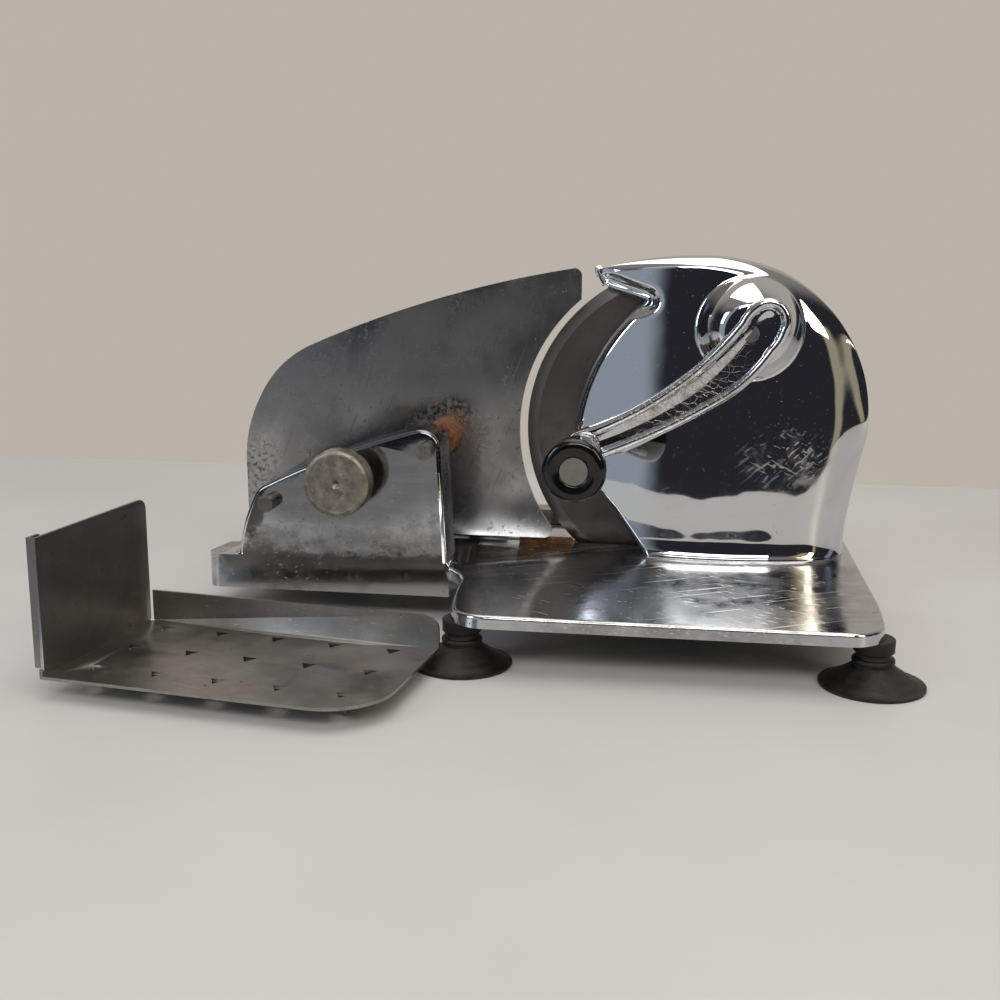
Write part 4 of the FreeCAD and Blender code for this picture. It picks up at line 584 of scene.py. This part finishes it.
def buildKnob():
    look = knobLook
    radius, front, neckFront = look["radius"], look["front"], look["neckFront"]
    neck, bore, back, rimSteps = look["neck"], look["bore"], look["back"], look["rimSteps"]
    profile = [(bore, back), (neck - 0.4, back), (neck, back + 0.4), (neck, neckFront - 0.6),
               (neck + 0.5, neckFront), (radius - 1.2, neckFront), (radius - 0.5, neckFront + 0.3),
               (radius, neckFront + 0.9)]
    profile += [(radius, neckFront + 0.9 + look["rimLength"] * step / rimSteps)
                for step in range(1, rimSteps + 1)]
    profile += [(radius - 0.15, front - 1.4), (radius - 0.6, front - 0.7),
                (radius - 1.4, front - 0.25), (radius - 2.4, front)]
    # shallow turning rings across the face, then the centre mark
    rings = np.linspace(radius - 2.8, 2.2, look["faceRings"])
    profile += [(ring, front - 0.12 - 0.06 * (index % 2)) for index, ring in enumerate(rings)]
    profile += [(1.8, front - 0.3), (1.1, front - 1.0), (0.4, front - 1.5), (0.0, front - 1.6)]
    profile += [(0.0, back + look["boreDepth"]), (bore, back + look["boreDepth"])]

    def knurl(radii, angle, rows):
        # the rim's radius falls by a cosine wave of the tooth count, only where the rim is widest
        rim = ease((rows[:, :1] - radius + 0.7) / 0.6)
        wave = 0.5 - 0.5 * np.cos(look["teeth"] * angle)
        return radii - rim * look["toothDepth"] * wave

    knob = turnedPiece("thumbKnobKnurled", profile, look["place"], "y", look["teeth"] * 6, "knob",
                       ["thumb_knob"], knurl)
    print("thumb knob is turned")
    return knob


# suction cups: moulded cones with a stepped neck
cupLook = {
    "radius": 22.2, "neck": 8.6, "groove": 7.2, "top": 21.05, "studRadius": 2.6,
    "studBottom": 13.0, "lipHeight": 1.2, "skirtHeight": 8.2, "ringHeight": 0.12, "bead": 0.35,
    "corners": {"cup_front_left": "cupFrontLeft", "cup_front_right": "cupFrontRight",
                "cup_rear_left": "cupRearLeft", "cup_rear_right": "cupRearRight"}}


def buildCups():
    look = cupLook
    radius, neck, groove, top = look["radius"], look["neck"], look["groove"], look["top"]
    stud, studBottom, bead = look["studRadius"], look["studBottom"], look["bead"]
    # the skirt rises from lip to neck with the way to the power 1.25, plus a cosine wave of about
    # three low mould rings that dies out towards the neck
    way = np.linspace(0, 1, 26)
    rings = look["ringHeight"] * np.cos(way * 20) * (1 - way)
    skirt = np.stack([radius - (radius - neck) * way,
                      look["lipHeight"] + look["skirtHeight"] * way ** 1.25 + rings], -1)
    profile = np.concatenate([
        [(0.0, 4.2), (8.0, 3.6), (14.0, 2.2), (19.0, 0.5), (20.0, 0.0), (radius - 0.3, 0.0),
         (radius, 0.4)], skirt,
        [(neck, 10.2), (neck + bead, 10.8), (neck + bead, 11.9), (neck, 12.4),
         (groove + 0.2, 12.7), (groove, 13.2), (groove, 14.4), (groove + 0.2, 14.9),
         (neck - 0.3, 15.2), (neck, 15.6), (neck, top - 0.4), (neck - 0.4, top), (stud, top),
         (stud, studBottom), (0.0, studBottom)]])
    cups = []
    for node, name in look["corners"].items():
        middle = middleOf(node) / mm
        cups.append(turnedPiece(name, profile, (middle.x, middle.y, 0.0), "z", 72, "base",
                                [node]))
    print("suction cups are moulded")
    return cups


def platedCasting():
    # nickel and chrome over polished zinc: a mirror gone cloudy, brown-speckled and pitted with use
    finish, tree, shader, place = newFinish("chromePlatedCasting", 1.0)
    tray = nearPoint(tree, place, (78, -10, 27), 60, 118, squash=(1, 1.1, 1))
    handled = patches(tree, place, 42, 0.44, 0.62, detail=3.0)
    rubbed = patches(tree, place, 12, 0.30, 0.66, detail=6.0, shift=(4, 1, 7), top=tray)
    trayLines = fineLines(tree, place, 0.6, (0.0, 0.0, -0.5), 0.65, top=tray)
    film = patches(tree, place, 9, 0.36, 0.70, detail=7.0, shift=(2, 5, 1), top=handled)
    streak = patches(tree, place, 3.0, 0.45, 0.8, detail=4.0, stretch=(0.12, 1, 1), top=0.35)
    stain = patches(tree, place, 5.5, 0.66, 0.73, detail=7.0, shift=(7, 3, 9), top=0.55)
    tarnish = nearPoint(tree, place, (-90, -7, 84), 32, 50, squash=(0.6, 1, 1), top=0.75)
    # a band low on the bracket's face: frosted plating, painted lighter as a painted highlight
    # where the chrome would reflect the shaded floor
    frostAndHighlightBand = nearPoint(tree, place, (-90, -8, 38), 5, 10, squash=(0.10, 1, 1))
    frostWithPaintedHighlight = patches(tree, place, 5, 0.34, 0.56, detail=7.0, shift=(3, 3, 1), top=frostAndHighlightBand)
    pits = patches(tree, place, 1.3, 0.71, 0.745, detail=3.0)
    gouges = fineLines(tree, place, 0.5, (0.0, 0.2, 0.5), 0.66, top=handled)
    ripple = patches(tree, place, 30, 0.2, 0.8, detail=1.0)
    layFinish(tree, shader, "#c9cbce", 0.07, [
        (tarnish, "#4a4c52", None), (frostWithPaintedHighlight, "#e4e4e6", 0.42), (film, "#8f9093", 0.28),
        (streak, "#a9aaad", 0.20), (rubbed, "#98989a", 0.27),
        (gouges, "#dcdcdc", 0.32), (trayLines, "#e2e2e2", 0.34),
        (stain, "#6d5949", 0.45), (pits, "#332c29", 0.6),
    ], [(ripple, 0.06), (gouges, -0.03), (pits, -0.12)])
    return finish


def mirrorChrome():
    # heavy chrome on the buffed cover: a clean mirror with one rubbed patch, specks and scratches
    finish, tree, shader, place = newFinish("polishedChrome", 1.0)
    rubbed = nearPoint(tree, place, (126, 35, 80), 4, 34, squash=(1, 0, 1.5))
    cloud = patches(tree, place, 6, 0.42, 0.66, detail=8.0, shift=(1, 8, 2), top=rubbed)
    scuffs = fineLines(tree, place, 0.5, (0, 0.7, 0), 0.60, top=rubbed, long=0.05)
    scuffsAcross = fineLines(tree, place, 0.4, (0, -0.4, 0), 0.63, top=rubbed, long=0.05)
    hairs = fineLines(tree, place, 0.3, (0, 0.3, 0), 0.70, top=0.4)
    pits = patches(tree, place, 1.1, 0.735, 0.765, detail=2.0)
    ripple = patches(tree, place, 34, 0.2, 0.8, detail=1.5)
    layFinish(tree, shader, "#d6d8db", 0.03, [
        (cloud, "#b9babb", 0.24), (scuffs, "#d8d8d8", 0.34), (scuffsAcross, "#cfcfcf", 0.34),
        (hairs, "#bebfc0", 0.16), (pits, "#3a322e", 0.5),
    ], [(ripple, 0.22), (pits, -0.06)])
    return finish


def crazedChrome():
    # thin chrome on the arm: crazed in brown hairlines and rubbed dull along the channel
    finish, tree, shader, place = newFinish("crazedChrome", 1.0)
    worn = nearPoint(tree, place, (74, 18, 116), 10, 52)
    cracks = crazing(tree, place, 3.6, 0.07, top=worn)
    scuffs = fineLines(tree, place, 0.4, (0, -0.45, 0), 0.60, top=worn, long=0.06)
    film = patches(tree, place, 5, 0.44, 0.68, detail=7.0, top=worn)
    pits = patches(tree, place, 1.1, 0.70, 0.74, detail=3.0, top=0.9)
    layFinish(tree, shader, "#d3d5d8", 0.05, [
        (film, "#a8a39c", 0.24), (scuffs, "#c9c6c1", 0.30), (cracks, "#7d6f5d", 0.3),
        (pits, "#4a3a30", 0.5),
    ], [(cracks, -0.03), (pits, -0.05)])
    return finish


def groundBlade():
    # hardened steel, ground on a wheel: dark, with rings round the axis and a brighter ground bevel
    finish, tree, shader, place = newFinish("groundBladeSteel", 1.0)
    rings, radius = axisRings(tree, place, middleOf("blade"), 0.9)
    shine = addNode(tree, "ShaderNodeMapRange", None, {
        "Value": rings, "To Min": 0.0, "To Max": 0.45}).outputs["Result"]
    broad = patches(tree, place, 45, 0.3, 0.7, detail=4.0)
    stain = patches(tree, place, 16, 0.52, 0.70, detail=8.0, shift=(4, 4, 4), top=0.5)
    low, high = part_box("blade")
    bevelWidth = 5.6 * mm
    bevel = (high.x - low.x) / 2 - bevelWidth
    edge = addNode(tree, "ShaderNodeMapRange", None, {
        "Value": radius, "From Min": bevel - 0.1 * mm, "From Max": bevel + 0.1 * mm,
        "To Max": 0.7}).outputs["Result"]
    layFinish(tree, shader, "#5f5c5a", 0.34, [
        (broad, "#6e6a67", 0.40), (shine, "#85817c", None), (stain, "#544a43", 0.46),
        (edge, "#868481", 0.30),
    ], [(rings, 0.03)])
    return finish


def rolledPlate():
    # chromed sheet worn thin: soft vertical polishing streaks, brown edges and small rust pits
    finish, tree, shader, place = newFinish("wornChromedSheet", 1.0)
    streaks = patches(tree, place, 4, 0.25, 0.8, detail=4.0, stretch=(1, 1, 0.12), top=0.4)
    cloud = patches(tree, place, 38, 0.38, 0.66, detail=6.0, shift=(5, 0, 2))
    lines = fineLines(tree, place, 0.4, (0, 1.2, 0), 0.68, top=0.6)
    browned = patches(tree, place, 46, 0.50, 0.64, detail=2.0, shift=(8, 1, 3))
    nearCollar = nearPoint(tree, place, (-44, 50, 85), 9, 24, top=0.9)
    leftEdge = nearPoint(tree, place, (-153, 50, 62), 6, 26, top=0.85)
    rust = patches(tree, place, 3.6, 0.58, 0.66, detail=6.0, shift=(2, 2, 8), top=browned)
    collarRust = patches(tree, place, 2.6, 0.46, 0.60, detail=6.0, shift=(2, 4, 8), top=nearCollar)
    edgeRust = patches(tree, place, 2.6, 0.50, 0.62, detail=6.0, shift=(9, 4, 1), top=leftEdge)
    pits = patches(tree, place, 1.9, 0.70, 0.735, detail=3.0)
    layFinish(tree, shader, "#b7b8ba", 0.17, [
        (cloud, "#8f8e90", 0.34), (streaks, "#a09d9a", 0.28), (lines, "#77736f", 0.34),
        (rust, "#6b4834", 0.6), (collarRust, "#7a5233", 0.75), (edgeRust, "#6e4a30", 0.7),
        (pits, "#3a302b", 0.6),
    ], [(streaks, 0.02), (pits, -0.14)])
    return finish


def tinnedSheet():
    # tinned sheet, cut and folded: grey-brown with rubbed marks, rust creeping along the folds
    finish, tree, shader, place = newFinish("tinnedSheet", 1.0)
    cloud = patches(tree, place, 24, 0.35, 0.68, detail=6.0)
    grain = patches(tree, place, 1.6, 0.3, 0.75, detail=4.0, stretch=(0.2, 1, 1), top=0.45)
    brown = patches(tree, place, 13, 0.52, 0.68, detail=8.0, shift=(6, 1, 4), top=0.5)
    spots = patches(tree, place, 1.8, 0.72, 0.75, detail=3.0, shift=(3, 3, 3))
    rust = patches(tree, place, 7, 0.67, 0.72, detail=8.0, shift=(4, 9, 4))
    lines = fineLines(tree, place, 0.4, (0, 0, 0.4), 0.67, top=0.6)
    endPlate = nearPoint(tree, place, (-172, -104, 52), 38, 56, top=0.6)
    layFinish(tree, shader, "#918f8d", 0.30, [
        (cloud, "#a6a4a0", 0.42), (grain, "#8c8a87", None), (brown, "#8d7d6e", 0.5),
        (lines, "#c6c4c0", 0.35), (rust, "#6b4a34", 0.7), (spots, "#3d342e", 0.7),
        (endPlate, "#505257", None),
    ], [(grain, 0.02)])
    return finish


def agedAlloy():
    # turned alloy gone dull: grey-green oxide bloom over fine turning rings
    finish, tree, shader, place = newFinish("agedTurnedAlloy", 1.0)
    rings, radius = axisRings(tree, place, middleOf("thumb_knob"), 0.8)
    bloom = patches(tree, place, 5, 0.4, 0.66, detail=8.0)
    dirt = patches(tree, place, 3, 0.56, 0.7, detail=5.0, shift=(6, 6, 1), top=0.8)
    rubbed = patches(tree, place, 8, 0.60, 0.74, detail=4.0, shift=(1, 2, 6), top=0.6)
    layFinish(tree, shader, "#857f74", 0.42, [
        (bloom, "#aba69a", 0.56), (dirt, "#605b50", 0.6), (rubbed, "#bcb8ae", 0.34),
    ], [(rings, 0.05), (bloom, 0.03)])
    return finish


def blackPhenolic():
    # moulded phenolic, polished by hands: deep gloss with dust and hairline marks
    finish, tree, shader, place = newFinish("glossPhenolic", 0.0)
    film = patches(tree, place, 12, 0.4, 0.7, detail=5.0)
    dust = patches(tree, place, 1.0, 0.68, 0.73, detail=5.0, top=0.6)
    hairs = fineLines(tree, place, 0.3, (0.4, 0.4, 0), 0.70, top=0.5)
    layFinish(tree, shader, "#0a0a0b", 0.08, [
        (film, "#0d0d0e", 0.20), (hairs, "#1c1c1c", 0.3), (dust, "#3b3936", 0.5),
    ], [(hairs, -0.01)])
    return finish


def blackRubber():
    # old moulded rubber: matt brown-black, with pale dust on its slopes and fine grain
    finish, tree, shader, place = newFinish("agedRubber", 0.0)
    dust = patches(tree, place, 6, 0.44, 0.72, detail=9.0, top=0.8)
    grain = patches(tree, place, 0.8, 0.3, 0.8, detail=4.0)
    specks = patches(tree, place, 1.0, 0.69, 0.73, detail=3.0, shift=(2, 2, 2), top=0.7)
    layFinish(tree, shader, "#0e0d0c", 0.50, [
        (dust, "#221e1b", 0.8), (specks, "#4c463f", 0.85),
    ], [(grain, 0.08)])
    return finish


def rustedSteel():
    # bare steel left damp: brown scale with orange and dark grains
    finish, tree, shader, place = newFinish("rustedSteel", 0.15)
    scale = patches(tree, place, 2.4, 0.35, 0.68, detail=8.0)
    dark = patches(tree, place, 1.2, 0.55, 0.7, detail=4.0, shift=(5, 5, 5))
    layFinish(tree, shader, "#4f3524", 0.85, [
        (scale, "#8a5c38", 0.9), (dark, "#2f221b", 0.8),
    ], [(scale, 0.15)])
    return finish


def plainMetal(name, colour, wearColour, roughness, metallic=1.0):
    # turned or cut metal with a little grease and wear; less metallic where a dull coat covers it
    finish, tree, shader, place = newFinish(name, metallic)
    wear = patches(tree, place, 4, 0.35, 0.7, detail=6.0)
    specks = patches(tree, place, 1.2, 0.68, 0.72, detail=3.0, shift=(3, 1, 2), top=0.7)
    layFinish(tree, shader, colour, roughness, [
        (wear, wearColour, roughness + 0.18), (specks, "#4a3c31", 0.7),
    ], [(wear, 0.02)])
    return finish


def dressNodes(pieces):
    steel = plainMetal("turnedSteel", "#b0aeaa", "#858179", 0.26)
    gear = plainMetal("cutGearSteel", "#8d8a85", "#5f5b55", 0.38)
    pin = plainMetal("dullPinSteel", "#8f8c87", "#6c6862", 0.40)
    rust = rustedSteel()
    finishes = {
        "blade": groundBlade(), "blade_gear": gear, "crank_gear": gear,
        "crank_bush": plainMetal("turnedBrass", "#c9a25a", "#8c6c36", 0.3),
        "grip_stud": plainMetal("zincPlatedSteel", "#77746e", "#6a6762", 0.55, 0.25),
        "guide_pin_left": pin, "guide_pin_right": pin, "guide_strip": rust,
        "pin_collar_right": rust,
    }
    chrome, cover, arm = platedCasting(), mirrorChrome(), crazedChrome()
    sheet, tin, rubber = rolledPlate(), tinnedSheet(), blackRubber()
    dressed = {
        "baseCastingSmooth": chrome, "housingCover": cover, "crankArmChannel": arm,
        "crankArmNeck": arm, "crankGripTurned": blackPhenolic(), "thumbKnobKnurled": agedAlloy(),
        "gaugePlateSmooth": sheet, "foodCarriageSmooth": sheet, "foodPusherSmooth": tin}
    for piece in pieces:
        piece.data.materials.clear()
        piece.data.materials.append(dressed.get(piece.name, rubber))
    for name, item in nodes.items():
        item.data.materials.clear()
        item.data.materials.append(finishes.get(name, steel))
    print("finishes are on the metal, rubber and phenolic")


buildStage()
arm, armNeck = buildArm()
pieces = [
    smoothCopy("baseCastingSmooth", "base_casting", "base"),
    smoothCopy("gaugePlateSmooth", "gauge_plate", "gauge"),
    smoothCopy("foodCarriageSmooth", "food_carriage", "carriage"),
    smoothCopy("foodPusherSmooth", "food_pusher", "pusher"),
]
print("smooth copies are in place")
pieces += [buildCover(), arm, armNeck, buildGrip(), buildKnob(), *buildCups()]
dressNodes(pieces)
